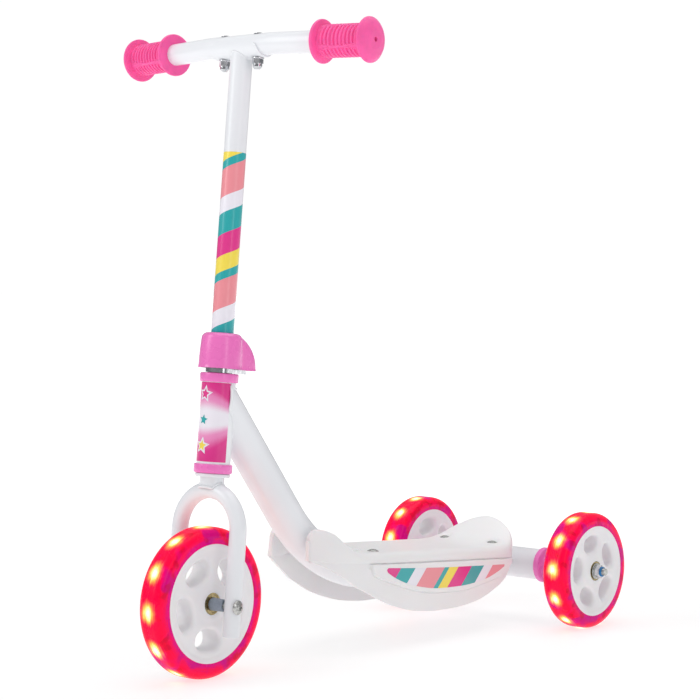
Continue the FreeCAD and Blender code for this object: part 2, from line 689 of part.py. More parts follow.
# Handlebar.
def make_cradle(drills):
    """The half pipe under the handlebar's middle, drilled for its two bolts."""
    saddle, outer = dim("cradle_radius"), dim("bar_radius")
    body = new_body("cradle_body")
    section = new_sketch(body, "YZ_Plane", "cradle_section")
    for radius in (saddle.number, outer.number):
        arc = Part.ArcOfCircle(Part.Circle(Vector(), Z_AXIS, radius), math.pi, 2 * math.pi)
        section.addGeometry(arc, False)
    section.addGeometry([Part.LineSegment(Vector(-saddle.number, 0, 0), Vector(-outer.number, 0, 0)),
                         Part.LineSegment(Vector(outer.number, 0, 0), Vector(saddle.number, 0, 0))])
    for rule in (("Coincident", 0, 3, -1, 1), ("Coincident", 1, 3, -1, 1), ("Coincident", 0, 1, 2, 1),
                 ("Coincident", 1, 1, 2, 2), ("Coincident", 1, 2, 3, 1), ("Coincident", 0, 2, 3, 2),
                 ("PointOnObject", 0, 1, -1), ("PointOnObject", 0, 2, -1),
                 ("PointOnObject", 1, 1, -1), ("PointOnObject", 1, 2, -1)):
        section.addConstraint(Sketcher.Constraint(*rule))
    tie(section, saddle, "", "Radius", 0)
    tie(section, outer, "", "Radius", 1)
    pad = body.newObject("PartDesign::Pad", "cradle_pad")
    pad.Profile = section
    pad.Midplane = True
    bind(pad, Length=dim("cradle_half") * 2)
    doc.recompute()
    node(cut("bar_cradle", on_steering(body, dim("bar_height")), drills), "bar_cradle")


def make_handlebar(drills):
    """The handlebar: one swept half and its mirror image, drilled for the two bolts."""
    bar = new_body("bar_half")
    legs = ((0, dim("bar_straight")), (dim("bar_sweep"), dim("bar_arm")))
    path = bent_path(bar, "XY_Plane", (0, 0), legs, dim("bar_bend"))
    section = new_sketch(bar, "YZ_Plane", "bar_half_section")
    sweep(bar, path, section, dim("bar_radius"), dim("bar_wall"))
    mirror = bar.newObject("PartDesign::Mirrored", "bar_mirrored")
    mirror.Originals = [bar.Tip]
    middle = [part for part in bar.Origin.OriginFeatures if part.Role == "YZ_Plane"][0]
    mirror.MirrorPlane = (middle, [""])
    bar.Tip = mirror
    doc.recompute()
    place(bar, (0, *steering_point(dim("bar_height"))), X_AXIS, -dim("bar_droop"))
    node(cut("handlebar", bar, drills), "handlebar")


def make_bar():
    """Cradle, handlebar, its two bolts with cap nuts, and the grips."""
    outer, saddle, bolt = dim("bar_radius"), dim("cradle_radius"), dim("bar_bolt_radius")
    spread = dim("bar_bolt_spread")
    drills = doc.addObject("Part::Compound", "bar_drills")
    drills.Links = [on_bolt(cylinder(f"bar_drill{side + 1}", bolt + dim("bolt_play"), 40),
                            spread * side, -20) for side in SIDES.values()]
    make_cradle(drills)
    make_handlebar(drills)
    bolts, nuts = [], []
    reach = saddle + dim("cap_nut_height") / 2
    for side in SIDES.values():
        x = spread * side
        head = dome_head(f"bar_head{side + 1}", dim("bar_bolt_head"), dim("dome_height"),
                         (0, 0, 0), X_AXIS, 0)
        shank = cylinder(f"bar_shank{side + 1}", bolt, outer + reach + dim("dome_height") / 4)
        union = doc.addObject("Part::MultiFuse", f"bar_bolt{side + 1}")
        union.Shapes = [on_bolt(head, x, outer), on_bolt(shank, x, -reach)]
        bolts.append(union)
        nuts.append(cap_nut(f"bar_nut{side + 1}", x, -saddle))
    group("bar_bolts", *bolts)
    group("bar_cap_nuts", *nuts)
    for name, side in SIDES.items():
        make_grip(f"grip_{name}", side)


def on_bolt(thing, x, drop):
    """Stand a thing on a handlebar bolt's axis, at a height above the bar's middle."""
    return on_steering(thing, dim("bar_height") + drop, x)


def cap_nut(name, x, top):
    """A closed hexagon nut with a washer face on top and a domed end below."""
    flats, height, lip = dim("cap_nut_flats"), dim("cap_nut_height"), dim("washer_height")
    prism = hexagon(f"{name}_hex", flats, 0, (height - lip) * 0.5)
    dome = lathe(f"{name}_dome", [(0, 0), (flats * 0.48, 0), (flats * 0.45, -height * 0.25),
                                  (flats * 0.3, -height * 0.43), (0, -height * 0.5)])
    washer = lathe(f"{name}_washer", [(0, 0), (flats * 0.62, 0), (flats * 0.62, lip), (0, lip)])
    on_bolt(washer, x, top - lip)
    on_bolt(prism, x, top - lip - (height - lip) * 0.5)
    on_bolt(dome, x, top - lip - (height - lip) * 0.5)
    union = doc.addObject("Part::MultiFuse", f"{name}_whole")
    union.Shapes = [washer, prism, dome]
    drill = on_bolt(cylinder(f"{name}_drill", dim("bar_bolt_radius"), height), x, top - height / 2)
    return cut(f"{name}_drilled", union, drill)


def make_grip(label, side):
    """A rubber grip: thin inner flange, ribbed barrel's core and a domed outer cap."""
    start, end, bore = dim("grip_start"), dim("grip_end"), dim("bar_radius")
    flange, barrel, cap = dim("grip_flange"), dim("grip_radius"), dim("grip_cap_radius")
    lip = dim("grip_flange_width")
    shoulder = end - dim("grip_cap_width")
    sweep_angle = dim("bar_sweep")
    bend_length = dim("bar_bend") * sweep_angle * (math.pi / 180)
    bar_end = dim("bar_straight") + dim("bar_arm") + bend_length
    hole = dim("grip_hole")
    body = lathe(f"{label}_body", [
        (bore, start), (flange - 1.5, start), (flange, start + 1.5), (flange, start + lip - 1),
        (flange - 2, start + lip), (barrel, start + lip + 0.5), (barrel, shoulder - 1.5),
        (cap - 1.5, shoulder), (cap, shoulder + 1.5), (cap - 1, shoulder + 4), (cap * 0.72, end - 1.4),
        (cap * 0.4, end - 0.3), (hole, end), (hole, bar_end), (bore, bar_end)])
    # The arm's line, carried back to where it crosses the bar's middle plane.
    base = dim("bar_straight").number
    base += dim("bar_bend").number * math.tan(math.radians(sweep_angle.number / 2))
    y, z = steering_point(dim("bar_height"))
    arm = Rotation(X_AXIS, -dim("bar_droop").number) * Rotation(Z_AXIS, side * sweep_angle.number)
    along = arm.multVec(Vector(side, 0, 0))
    corner = Vector(base * side, y.number, z.number)
    body.Placement = Placement(corner - along * base, arm * Rotation(Y_AXIS, 90 * side))
    return node(body, label)


# Main tube and rear axle.
def make_frame():
    """The bent main tube, coped to the head tube and to the rear cross tube."""
    outer, wall = dim("main_radius"), dim("main_wall")
    y = dim("front_axle_y") + dim("main_start_y")
    legs = ((-dim("main_drop"), dim("main_front_leg")), (-dim("main_slope"), dim("main_rear_leg")))
    body = new_body("main_body")
    path = bent_path(body, "YZ_Plane", (y, dim("main_start_z")), legs, dim("main_bend"))
    section = body.newObject("Sketcher::SketchObject", "main_section")
    doc.recompute()
    section.AttachmentSupport = [(path, "Edge1")]
    section.MapMode = "NormalToEdge"
    doc.recompute()
    sweep(body, path, section, outer, wall)
    head = on_steering(cylinder("head_cope", dim("head_radius"), 260), 80)
    cross = crossbar("cross_cope", dim("cross_radius"), 60, REAR_AXLE_Y, dim("rear_radius"))
    front = doc.addObject("Part::Box", "front_cope")
    bind(front, Length=60, Width=60, Height=200)
    place(front, (-30, y - 60 - 3, dim("main_start_z") - 60))
    node(cut("main_tube", body, head, cross, front), "main_tube")
    tube = ring("cross_body", dim("cross_radius"), dim("cross_radius") - dim("cross_wall"),
                -dim("cross_half"), dim("cross_half"))
    node(place(tube, REAR_AXLE, Y_AXIS, 90), "rear_axle_tube")


def make_rear_axle():
    """Axle caps, the threaded rod through both wheels, and its washers and lock nuts."""
    half, rod = dim("cross_half"), dim("axle_radius")
    bore = dim("bearing_bore")
    wheel_in = (dim("rear_track") - dim("rear_hub_width")) / 2 - dim("gap")
    flange = dim("cap_flange")
    for name, side in SIDES.items():
        plug = dim("cross_radius") - dim("cross_wall")
        body = lathe(f"axle_cap_{name}_body", [
            (bore, half - 12), (plug, half - 12), (plug, half), (flange, half),
            (flange, half + dim("cap_flange_width")), (dim("cap_nose"), half + dim("cap_flange_width")),
            (dim("cap_nose"), wheel_in - 6), (dim("cap_tip"), wheel_in), (bore, wheel_in)])
        round_edges(body, circle_of(flange), 1.2)
        node(place(body, REAR_AXLE, Y_AXIS, 90 * side), f"axle_cap_{name}")
    node(crossbar("rod", rod, dim("rod_half"), REAR_AXLE_Y, dim("rear_radius")), "rear_axle_rod")
    start = (dim("rear_track") + dim("rear_hub_width")) / 2 + dim("gap")
    washers, nuts, inserts = [], [], []
    for side in SIDES.values():
        washer = ring(f"washer{side + 1}", dim("washer_radius"), rod, start, start + dim("washer_height"))
        nut_start = start + dim("washer_height")
        nut_end = nut_start + dim("nut_height")
        nut = hexagon(f"nut{side + 1}", dim("nut_flats"), nut_start, nut_end, rod)
        insert = ring(f"insert{side + 1}", dim("nut_flats") * 0.42, rod, nut_end,
                      nut_end + dim("insert_height"), 0.6)
        for thing, pieces in ((washer, washers), (nut, nuts), (insert, inserts)):
            pieces.append(place(thing, REAR_AXLE, Y_AXIS, 90 * side))
    group("rear_washers", *washers)
    group("rear_lock_nuts", *nuts)
    group("rear_nut_inserts", *inserts)
    wheels = [(dim("rear_track") / 2 * side, REAR_AXLE_Y, dim("rear_radius")) for side in SIDES.values()]
    group("rear_magnet_sleeves", *[magnet_sleeve(f"rear_sleeve{i}", axle, dim("rear_hub_width"))
                                   for i, axle in enumerate(wheels)])


# Deck. Its shapes are worked out in the deck's own frame, see on_deck.
def plan_face(inset):
    """The deck seen from above: narrow rounded front, straight sides, bowed tail."""
    front, tail = -read("deck_front") + inset, read("deck_tail") - inset
    half = read("deck_half_width") - inset
    side = [Vector(half * share, y, 0) for share, y in
            ((0.55, front), (0.75, -74 + inset), (0.91, -34), (1, 0))]
    back = [Vector(half, read("deck_straight"), 0), Vector(half * 0.9, tail - 21, 0),
            Vector(half * 0.6, tail - 5, 0), Vector(0, tail, 0)]
    right = [curve_through(side, end=Vector(0, 1, 0)), line(side[-1], back[0]),
             curve_through(back, start=Vector(0, 1, 0), end=Vector(-1, 0, 0))]
    flip = FreeCAD.Matrix()
    flip.A11 = -1
    left = [edge.transformGeometry(flip) for edge in right]
    nose = line(Vector(-side[0].x, front, 0), side[0])
    return Part.Face(Part.Wire(Part.__sortEdges__([nose] + right + left)))


def line(first, last):
    return Part.LineSegment(first, last).toShape()


def curve_through(points, start=None, end=None):
    """A smooth curve through points, with the end directions that are given."""
    curve = Part.BSplineCurve()
    if start is None and end is None:
        curve.interpolate(points)
    elif start is None:
        curve.interpolate(Points=points, Tangents=[Vector()] * (len(points) - 1) + [end],
                          TangentFlags=[False] * (len(points) - 1) + [True])
    else:
        curve.interpolate(Points=points, InitialTangent=start, FinalTangent=end)
    return curve.toShape()


def ear_line(drop=0):
    """Side view of the front ear, from its tip down to the deck's top face."""
    front, rise = -read("deck_front"), read("deck_ear_rise")
    heights = ((front, 0.5), (front + 3, 0.8), (front + 11, 1), (front + 24, 0.85),
               (front + 40, 0.35), (front + 56, 0.08), (front + 72, 0))
    return [Vector(0, y, rise * share - drop) for y, share in heights]


def tail_line(drop=0):
    """Side view of the tail's middle, from the deck's top face up to its rim."""
    tail, rise = read("deck_tail"), read("deck_tail_rise")
    shares = ((-58, 0), (-44, 0.07), (-28, 0.3), (-12, 0.7), (0, 1))
    return [Vector(0, tail + y, rise * share - drop) for y, share in shares]


def side_block(drop, floor, half):
    """Everything under the deck's side view, down to a floor, across a width."""
    ear, tail = ear_line(drop), tail_line(drop)
    edges = [curve_through(ear), line(ear[-1], tail[0]), curve_through(tail)]
    corners = [tail[-1], Vector(0, tail[-1].y, floor), Vector(0, ear[0].y, floor), ear[0]]
    edges += [line(corners[i], corners[i + 1]) for i in range(3)]
    face = Part.Face(Part.Wire(Part.__sortEdges__(edges)))
    face.translate(Vector(-half, 0, 0))
    return face.extrude(Vector(2 * half, 0, 0))


def tail_arch():
    """What the tail's bowed rim leaves out: the space above an arch that falls to each side."""
    half, rise = read("deck_half_width") + 3, read("deck_tail_rise")
    start = read("deck_straight") - 10
    rim = [Vector(-half, start, 3), Vector(-half * 0.7, start, rise * 0.62), Vector(0, start, rise),
           Vector(half * 0.7, start, rise * 0.62), Vector(half, start, 3)]
    edges = [curve_through(rim), line(rim[-1], Vector(half, start, 60)),
             line(Vector(half, start, 60), Vector(-half, start, 60)), line(Vector(-half, start, 60), rim[0])]
    return Part.Face(Part.Wire(edges)).extrude(Vector(0, 80, 0))


def make_deck():
    """The deck's top moulding: thin plate with a rim, two front ears and a raised tail."""
    wall, depth = read("deck_wall"), read("deck_depth")
    plan = plan_face(0)
    plan.translate(Vector(0, 0, -depth))
    block = plan.extrude(Vector(0, 0, depth + 40)).common(side_block(0, -depth, 80)).cut(tail_arch())
    hollow = plan_face(wall)
    hollow.translate(Vector(0, 0, -depth - 1))
    under = hollow.extrude(Vector(0, 0, depth + 40))
    low = Part.makeBox(200, 500, depth + 1 - wall, Vector(-100, -200, -depth - 1))
    lean = side_block(wall + 2, -depth - 1, 80).cut(Part.makeBox(200, 330, 60, Vector(-100, -200, -wall)))
    block = block.cut(under.common(low.fuse(lean)).cut(tail_arch_below(wall)))
    half, end = read("notch_half"), read("notch_end")
    notch = Part.makeBox(2 * half, 200, 80, Vector(-half, end - half - 200, -40))
    notch = notch.fuse(Part.makeCylinder(half, 80, Vector(0, end - half, -40)))
    inner = plan_face(9)
    shelf = inner.extrude(Vector(0, 0, 40)).common(Part.makeBox(200, 200, 40, Vector(-100, -200, 0)))
    block = block.cut(notch).cut(shelf)
    for x, y, seat in deck_bolt_places():
        hole = Part.makeCylinder(read("deck_bolt_radius"), 60, Vector(x, y, -30))
        spot = Part.makeCylinder(read("deck_seat_radius"), 20, Vector(x, y, seat))
        block = block.cut(hole).cut(spot)
    block = block.cut(main_tube_core(read("tube_play")))
    node(on_deck(coded("deck_top", block)), "deck_top")


def tail_arch_below(wall):
    """The tail arch's space lowered by the wall, so that the hollow follows the rim."""
    arch = tail_arch()
    arch.translate(Vector(0, 0, -wall - 3))
    return arch.common(Part.makeBox(200, 200, 100, Vector(-100, read("deck_straight"), -wall)))


def deck_bolt_places():
    """X, Y and the height of the head's seat of the four deck bolts, in the deck's frame."""
    x = read("deck_bolt_x")
    return [(x * side, read(f"deck_bolt_{end}"), read(f"deck_seat_{end}"))
            for end in ("front", "rear") for side in SIDES.values()]


def skirt_line():
    """Side view of a skirt's lower edge, from front to rear, in the deck's frame."""
    depth = read("skirt_depth")
    shares = ((-94, 0.21), (-74, 0.335), (-43, 0.573), (-4, 0.808), (49, 0.967), (84, 1),
              (120, 0.979), (157, 0.903), (194, 0.692), (213, 0.49), (220, 0.25))
    return [Vector(0, y, -depth * share) for y, share in shares]


def crescent_face():
    """Side view of the raised crescent on a skirt."""
    top = -read("deck_depth") - 3
    low = [Vector(0, -12, top - 4), Vector(0, 30, top - 19), Vector(0, 90, top - 27),
           Vector(0, 150, top - 22), Vector(0, 204, top - 4)]
    edges = [curve_through(low), line(low[-1], Vector(0, 206, top)),
             line(Vector(0, 206, top), Vector(0, -10, top)), line(Vector(0, -10, top), low[0])]
    return Part.Face(Part.Wire(edges))


def make_skirts():
    """The two side skirts: thin curved walls under the deck's rim, each with a raised crescent."""
    depth, wall, raised = read("deck_depth"), read("skirt_wall"), read("relief_height")
    low = skirt_line()
    top = Vector(0, low[-1].y, -depth)
    edges = [curve_through(low), line(low[-1], top), line(top, Vector(0, low[0].y, -depth)),
             line(Vector(0, low[0].y, -depth), low[0])]
    side_view = Part.Face(Part.Wire(edges)).extrude(Vector(120, 0, 0))
    crescent = crescent_face().extrude(Vector(120, 0, 0))

    def band(outside, inside):
        faces = [plan_face(outside), plan_face(inside)]
        solids = []
        for face in faces:
            face.translate(Vector(0, 0, -90))
            solids.append(face.extrude(Vector(0, 0, 100)))
        return solids[0].cut(solids[1])
    keep = Part.makeBox(100, 400, 200, Vector(read("notch_half"), -150, -150))
    skirt = band(1, 1 + wall).common(side_view).common(keep)
    skirt = skirt.fuse(band(1 - raised, 1 + wall).common(crescent).common(keep)).removeSplitter()
    for name, side in SIDES.items():
        shape = skirt if side > 0 else skirt.mirror(Vector(), X_AXIS)
        node(on_deck(coded(f"side_skirt_{name}", shape)), f"side_skirt_{name}")


def make_bracket(end, tube):
    """A plate with two lips, across the main tube under one pair of deck bolts."""
    half, length, plate = read("bracket_half"), read("bracket_length"), read("bracket_height")
    lip_wall, lip_depth = read("bracket_lip_wall"), read("bracket_lip_depth")
    start, under = read(f"deck_bolt_{end}") - length / 2, -read("deck_wall")
    bracket = Part.makeBox(2 * half, length, plate, Vector(-half, start, under - plate))
    for side in SIDES.values():
        x = side * (half - read("bracket_lip_inset")) - lip_wall / 2
        bracket = bracket.fuse(Part.makeBox(lip_wall, length, lip_depth, Vector(x, start, under - lip_depth)))
    bracket = bracket.cut(tube)
    for x, y, _ in deck_bolt_places():
        bracket = bracket.cut(Part.makeCylinder(read("deck_bolt_radius"), 60, Vector(x, y, -30)))
    crumb = 100
    solids = [solid for solid in bracket.Solids if solid.Volume > crumb]
    node(on_deck(coded(f"deck_bracket_{end}", Part.makeCompound(solids))), f"deck_bracket_{end}")


def deck_bolt(seat, bottom):
    """A domed bolt whose head sits on its seat and whose shank reaches down to the bottom."""
    head, height, radius = read("deck_bolt_head"), read("deck_head_height"), read("deck_bolt_radius")
    ball = head * 1.6
    dome = Part.makeSphere(ball, Vector(0, 0, height - ball)).common(Part.makeCylinder(head, height + 1))
    dome.translate(Vector(0, 0, seat))
    shank = Part.makeCylinder(radius, seat - bottom, Vector(0, 0, bottom))
    return dome.fuse(shank).removeSplitter()


def make_deck_fasteners():
    """Brackets on the main tube and the bolts and nuts that hold the deck to them."""
    tube = main_tube_core(0)
    for end in ("front", "rear"):
        make_bracket(end, tube)
    under = -read("deck_wall") - read("bracket_height")
    thick = read("deck_nut_height")
    corners = [Vector(read("deck_nut_corner"), 0, 0)]
    for _ in range(6):
        corners.append(Rotation(Z_AXIS, 60).multVec(corners[-1]))
    corners[-1] = corners[0]
    bolts, nuts = [], []
    for x, y, seat in deck_bolt_places():
        bolt = deck_bolt(seat, under - thick - 2)
        bolt.translate(Vector(x, y, 0))
        bolts.append(bolt)
        nut = Part.Face(Part.makePolygon(corners)).extrude(Vector(0, 0, thick))
        nut = nut.cut(Part.makeCylinder(read("deck_bolt_radius"), thick))
        nut.translate(Vector(x, y, under - thick))
        nuts.append(nut)
    node(on_deck(coded("deck_bolts", Part.makeCompound(bolts))), "deck_bolts")
    node(on_deck(coded("deck_nuts", Part.makeCompound(nuts))), "deck_nuts")


def main_tube_core(play):
    """The main tube's outside with some play, as a solid rod in the deck's frame."""
    deck = Placement(Vector(0, read("front_axle_y") + read("deck_y"), read("deck_z")),
                     Rotation(X_AXIS, -read("main_slope")))
    path = doc.getObject("main_body_path").Shape
    first = path.Edges[0]
    circle = Part.Wire(Part.makeCircle(read("main_radius") + play, first.Vertexes[0].Point,
                                       first.tangentAt(first.FirstParameter)))
    rod = Part.Wire(path.Edges).makePipeShell([circle], True, False)
    rod.Placement = deck.inverse() * rod.Placement
    return rod


def write_files():
    """Check every object and every sub-part, then write one file for each sub-part."""
    doc.recompute()
    for thing in doc.Objects:
        if any(word in thing.State for word in ("Invalid", "Error")):
            raise RuntimeError(f"{thing.Label} failed: {thing.State}")
    os.makedirs("parts", exist_ok=True)
    for thing in nodes:
        shape = thing.Shape
        if shape.isNull() or not shape.isValid() or not shape.Solids:
            raise RuntimeError(f"{thing.Label} has no valid solid")
        shape.exportStep(f"parts/{thing.Label}.step")
        box = shape.BoundBox
        print(f"{thing.Label:22s} solids {len(shape.Solids):2d} volume {shape.Volume:10.0f}  "
              f"x {box.XMin:.1f} {box.XMax:.1f}  y {box.YMin:.1f} {box.YMax:.1f}  "
              f"z {box.ZMin:.1f} {box.ZMax:.1f}")


make_sheet()
make_wheel("front", FRONT_AXLE, "")
for side_name, side_sign in SIDES.items():
    make_wheel("rear", (dim("rear_track") / 2 * side_sign, REAR_AXLE_Y, dim("rear_radius")),
               f"_{side_name}")
make_front_axle()
make_fork()
make_head()
make_stem()
make_clamp()
make_cover()
make_bar()
make_frame()
make_rear_axle()
make_deck()
make_skirts()
make_deck_fasteners()
write_files()
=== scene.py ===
"""Finish of a small three-wheeled kick scooter: surfaces, materials, stage and camera.

Laid out as an add-on and run as a script. Lengths inside shapes are millimetres along a place's
own axes; a Place turns them into metres in the scooter's frame.
"""

import json
import math

import bmesh
import bpy
import numpy as np
from bpy.props import FloatProperty, FloatVectorProperty, IntProperty, PointerProperty
from mathutils import Matrix, Vector


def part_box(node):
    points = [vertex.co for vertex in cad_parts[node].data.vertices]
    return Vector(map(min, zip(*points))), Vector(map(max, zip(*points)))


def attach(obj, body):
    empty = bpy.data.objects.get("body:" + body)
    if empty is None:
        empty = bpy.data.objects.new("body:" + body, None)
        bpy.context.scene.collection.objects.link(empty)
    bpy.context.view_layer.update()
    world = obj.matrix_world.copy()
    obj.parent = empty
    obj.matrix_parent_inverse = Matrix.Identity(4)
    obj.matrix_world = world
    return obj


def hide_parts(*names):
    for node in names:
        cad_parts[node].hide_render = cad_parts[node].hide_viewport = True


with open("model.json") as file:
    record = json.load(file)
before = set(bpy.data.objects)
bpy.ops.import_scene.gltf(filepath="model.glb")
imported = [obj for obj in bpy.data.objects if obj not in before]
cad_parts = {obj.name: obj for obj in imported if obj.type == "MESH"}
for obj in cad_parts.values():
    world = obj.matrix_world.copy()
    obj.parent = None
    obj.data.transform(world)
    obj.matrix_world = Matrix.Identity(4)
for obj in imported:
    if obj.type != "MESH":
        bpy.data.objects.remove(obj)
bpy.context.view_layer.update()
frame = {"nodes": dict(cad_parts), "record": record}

bl_info = {
    "name": "Kick Scooter",
    "version": (1, 0, 0),
    "blender": (4, 5, 0),
    "location": "View3D > Sidebar > Scooter",
    "description": "Builds the surfaces and finishes of a child's three-wheeled kick scooter",
    "category": "Object",
}

MM = 0.001
FOIL = 0.12                   # how far a printed foil stands off its surface, mm
SIDES = {"left": -1, "right": 1}
ROUND = 96                    # steps around a wheel or tube
DECK_BACK, DECK_UP = 224, 31  # the deck frame's origin from the front axle
DECK_SLOPE = 3.78             # how far the deck falls towards the rear, degrees
BAR_HEIGHT = 552.6            # handlebar middle along the steering axis
BAR_DROOP = 18.4              # turn of the bar's bend about X, degrees
BAR_SWEEP = 5.38              # bend of each arm, degrees
BAR_STRAIGHT, BAR_BEND = 35.0, 120.0    # half the straight middle, and the bends' radius
HEAD_RADIUS = 17.0            # head tube, outside; radii and heights below are millimetres too
STEM_RADIUS, STEM_WALL = 11.1, 1.5
BAR_RADIUS, BAR_WALL = 11.0, 1.5
SADDLE_RADIUS = 13.0          # the welded saddle under the bar, outside
FORK_RADIUS, FORK_WALL = 8.5, 1.5
LEG, SHOULDER = 40, 70.5      # a fork leg's distance from the middle, and its top
STEERER_RADIUS = 12.2
MAIN_RADIUS, CROSS_RADIUS = 19.0, 17.5    # main tube and rear cross tube, outside
BEARING_RADIUS, BEARING_WIDTH, BORE = 11.0, 7.0, 4.05
BARREL = 15.6                 # a grip's radius between its ribs
SCREW_SPREAD = 22.5           # bar screws, from the middle
JOINTS = {joint["name"]: joint for joint in frame["record"]["behaviour"]["joints"]}


# ---------------------------------------------------------------- colours and sizes
def linear(code):
    """The linear colour of an sRGB hex code, with alpha."""
    values = np.array([int(code[i:i + 2], 16) for i in (1, 3, 5)]) / 255
    curve = np.where(values <= 0.04045, values / 12.92, ((values + 0.055) / 1.055) ** 2.4)
    return (*curve.tolist(), 1.0)


def colour(name, code, about):
    """A colour property whose default is an sRGB hex code turned to linear."""
    return FloatVectorProperty(name=name, description=about, subtype="COLOR", size=4, min=0, max=1,
                               default=linear(code))


class ScooterColours(bpy.types.PropertyGroup):
    """Colours of the scooter's finishes."""
    coat: colour("Powder coat", "#EEF0F4", "White powder coat on the steel tubes")
    plastic: colour("Deck plastic", "#F3F2F3", "Moulded polypropylene of deck and skirts")
    hub: colour("Hub plastic", "#F3F1F3", "Moulded nylon of the wheel hubs")
    orchid: colour("Orchid plastic", "#F576C5", "Clamp cover, head rings and axle caps")
    grip: colour("Grip rubber", "#FF57A7", "Moulded rubber of the grips")
    tread: colour("Tyre tread", "#FA0040", "Cast urethane over the lights")
    wall: colour("Tyre wall", "#CE0078", "Cast urethane beside the hub")
    yellow: colour("Stripe yellow", "#F8E050", "Printed stripe")
    teal: colour("Stripe teal", "#18A9AC", "Printed stripe")
    salmon: colour("Stripe salmon", "#F1919B", "Printed stripe")
    magenta: colour("Stripe magenta", "#E52B8C", "Printed stripe and label ends")
    lilac: colour("Stripe white", "#F0EDF6", "Printed stripe and label middle")


class ScooterSizes(bpy.types.PropertyGroup):
    """Sizes of visible details that carry no load."""
    rib_pitch: FloatProperty(name="Grip rib pitch", description="Distance between ribs on a grip",
                             default=4.5 * MM, unit="LENGTH")
    rib_height: FloatProperty(name="Grip rib height", description="Height of a rib on a grip",
                              default=1.5 * MM, unit="LENGTH")
    groove: FloatProperty(name="Tread groove", description="Depth of the fine tread grooves",
                          default=0.3 * MM, unit="LENGTH")
    lights: IntProperty(name="Lights", description="Light modules in one wheel", default=12, min=1)
    glow: FloatProperty(name="Light glow", description="Brightness of the lights in the tyres",
                        default=1.8, min=0)
    azimuth: FloatProperty(name="Camera azimuth", description="Angle of the camera round the scooter",
                           default=math.radians(40.51), subtype="ANGLE")
    elevation: FloatProperty(name="Camera elevation", description="Angle of the camera above level",
                             default=math.radians(2.23), subtype="ANGLE")
    lens: FloatProperty(name="Lens", description="Focal length on a 36 mm wide sensor",
                        default=103.86, unit="CAMERA")


def colours():
    """The scene's colour settings."""
    return bpy.context.scene.scooter_colours


def sizes():
    """The scene's size settings."""
    return bpy.context.scene.scooter_sizes


# ---------------------------------------------------------------- places
class Place:
    """A local frame whose points, in millimetres along its axes, become metres in the scooter's."""

    def __init__(self, origin, x, y, z):
        self.origin = np.asarray(origin, float)
        self.axes = np.array([x, y, z], float)

    def __call__(self, points):
        """Points in millimetres in this place, as metres in the frame: origin plus each axis by its part."""
        return self.origin + np.asarray(points, float) * MM @ self.axes

    def moved(self, x=0, y=0, z=0):
        """The same axes from an origin shifted by millimetres along them."""
        return Place(self([x, y, z]), *self.axes)

    def turned(self, axis, degrees):
        """The same place turned about one of its own axes, 0 to 2."""
        c, s = math.cos(math.radians(degrees)), math.sin(math.radians(degrees))
        first, second = [(1, 2), (2, 0), (0, 1)][axis]
        axes = self.axes.copy()
        axes[first] = c * self.axes[first] + s * self.axes[second]
        axes[second] = -s * self.axes[first] + c * self.axes[second]
        return Place(self.origin, *axes)


def wheel_place(joint):
    """Z along the axle, X towards the rear and Y up, at a wheel's middle."""
    return Place(JOINTS[joint]["pos_m"], (0, 1, 0), (0, 0, 1), (1, 0, 0))


def steering_place():
    """Z up the steering axis from axle level, Y towards the rear."""
    joint = JOINTS["steering_turn"]
    z = np.array(joint["axis"])
    x = np.array([1.0, 0, 0])
    return Place(joint["pos_m"], x, np.cross(z, x), z)


FRONT = wheel_place("front_wheel_spin")
REAR = Place([0, *JOINTS["rear_left_spin"]["pos_m"][1:]], (0, 1, 0), (0, 0, 1), (1, 0, 0))
STEER = steering_place()
WORLD = Place((0, 0, 0), (1, 0, 0), (0, 1, 0), (0, 0, 1))
DECK = Place(FRONT.origin + np.array([0, DECK_BACK, DECK_UP]) * MM, *WORLD.axes).turned(0, -DECK_SLOPE)
BAR = Place(STEER([0, 0, BAR_HEIGHT]), *WORLD.axes).turned(0, -BAR_DROOP)


def outward(place, side):
    """A wheel or axle place whose Z points away from the middle of the scooter."""
    return place if side > 0 else Place(place.origin, place.axes[1], place.axes[0], -place.axes[2])


# ---------------------------------------------------------------- surfaces
def smooth(x, low=0.0, high=1.0):
    """0 below low, 1 above high and a smooth cubic step between."""
    t = np.clip((np.asarray(x, float) - low) / (high - low), 0, 1)
    return t * t * (3 - 2 * t)


def spline(x, knots_x, knots_y):
    """A smooth curve through knots: cubic pieces with slopes limited so that it never overshoots."""
    kx, ky = np.asarray(knots_x, float), np.asarray(knots_y, float)
    steps = np.diff(kx)
    rise = np.diff(ky) / steps
    inner = np.where(rise[:-1] * rise[1:] > 0,
                     2 * rise[:-1] * rise[1:]
                      / np.where(rise[:-1] + rise[1:] == 0, 1, rise[:-1] + rise[1:]), 0)
    slope = np.concatenate([[rise[0]], inner, [rise[-1]]])
    i = np.clip(np.searchsorted(kx, x) - 1, 0, len(steps) - 1)
    t = np.clip((x - kx[i]) / steps[i], 0, 1)
    return ((1 + 2 * t) * (1 - t) ** 2 * ky[i] + t * (1 - t) ** 2 * steps[i] * slope[i]
            + t * t * (3 - 2 * t) * ky[i + 1] + t * t * (t - 1) * steps[i] * slope[i + 1])


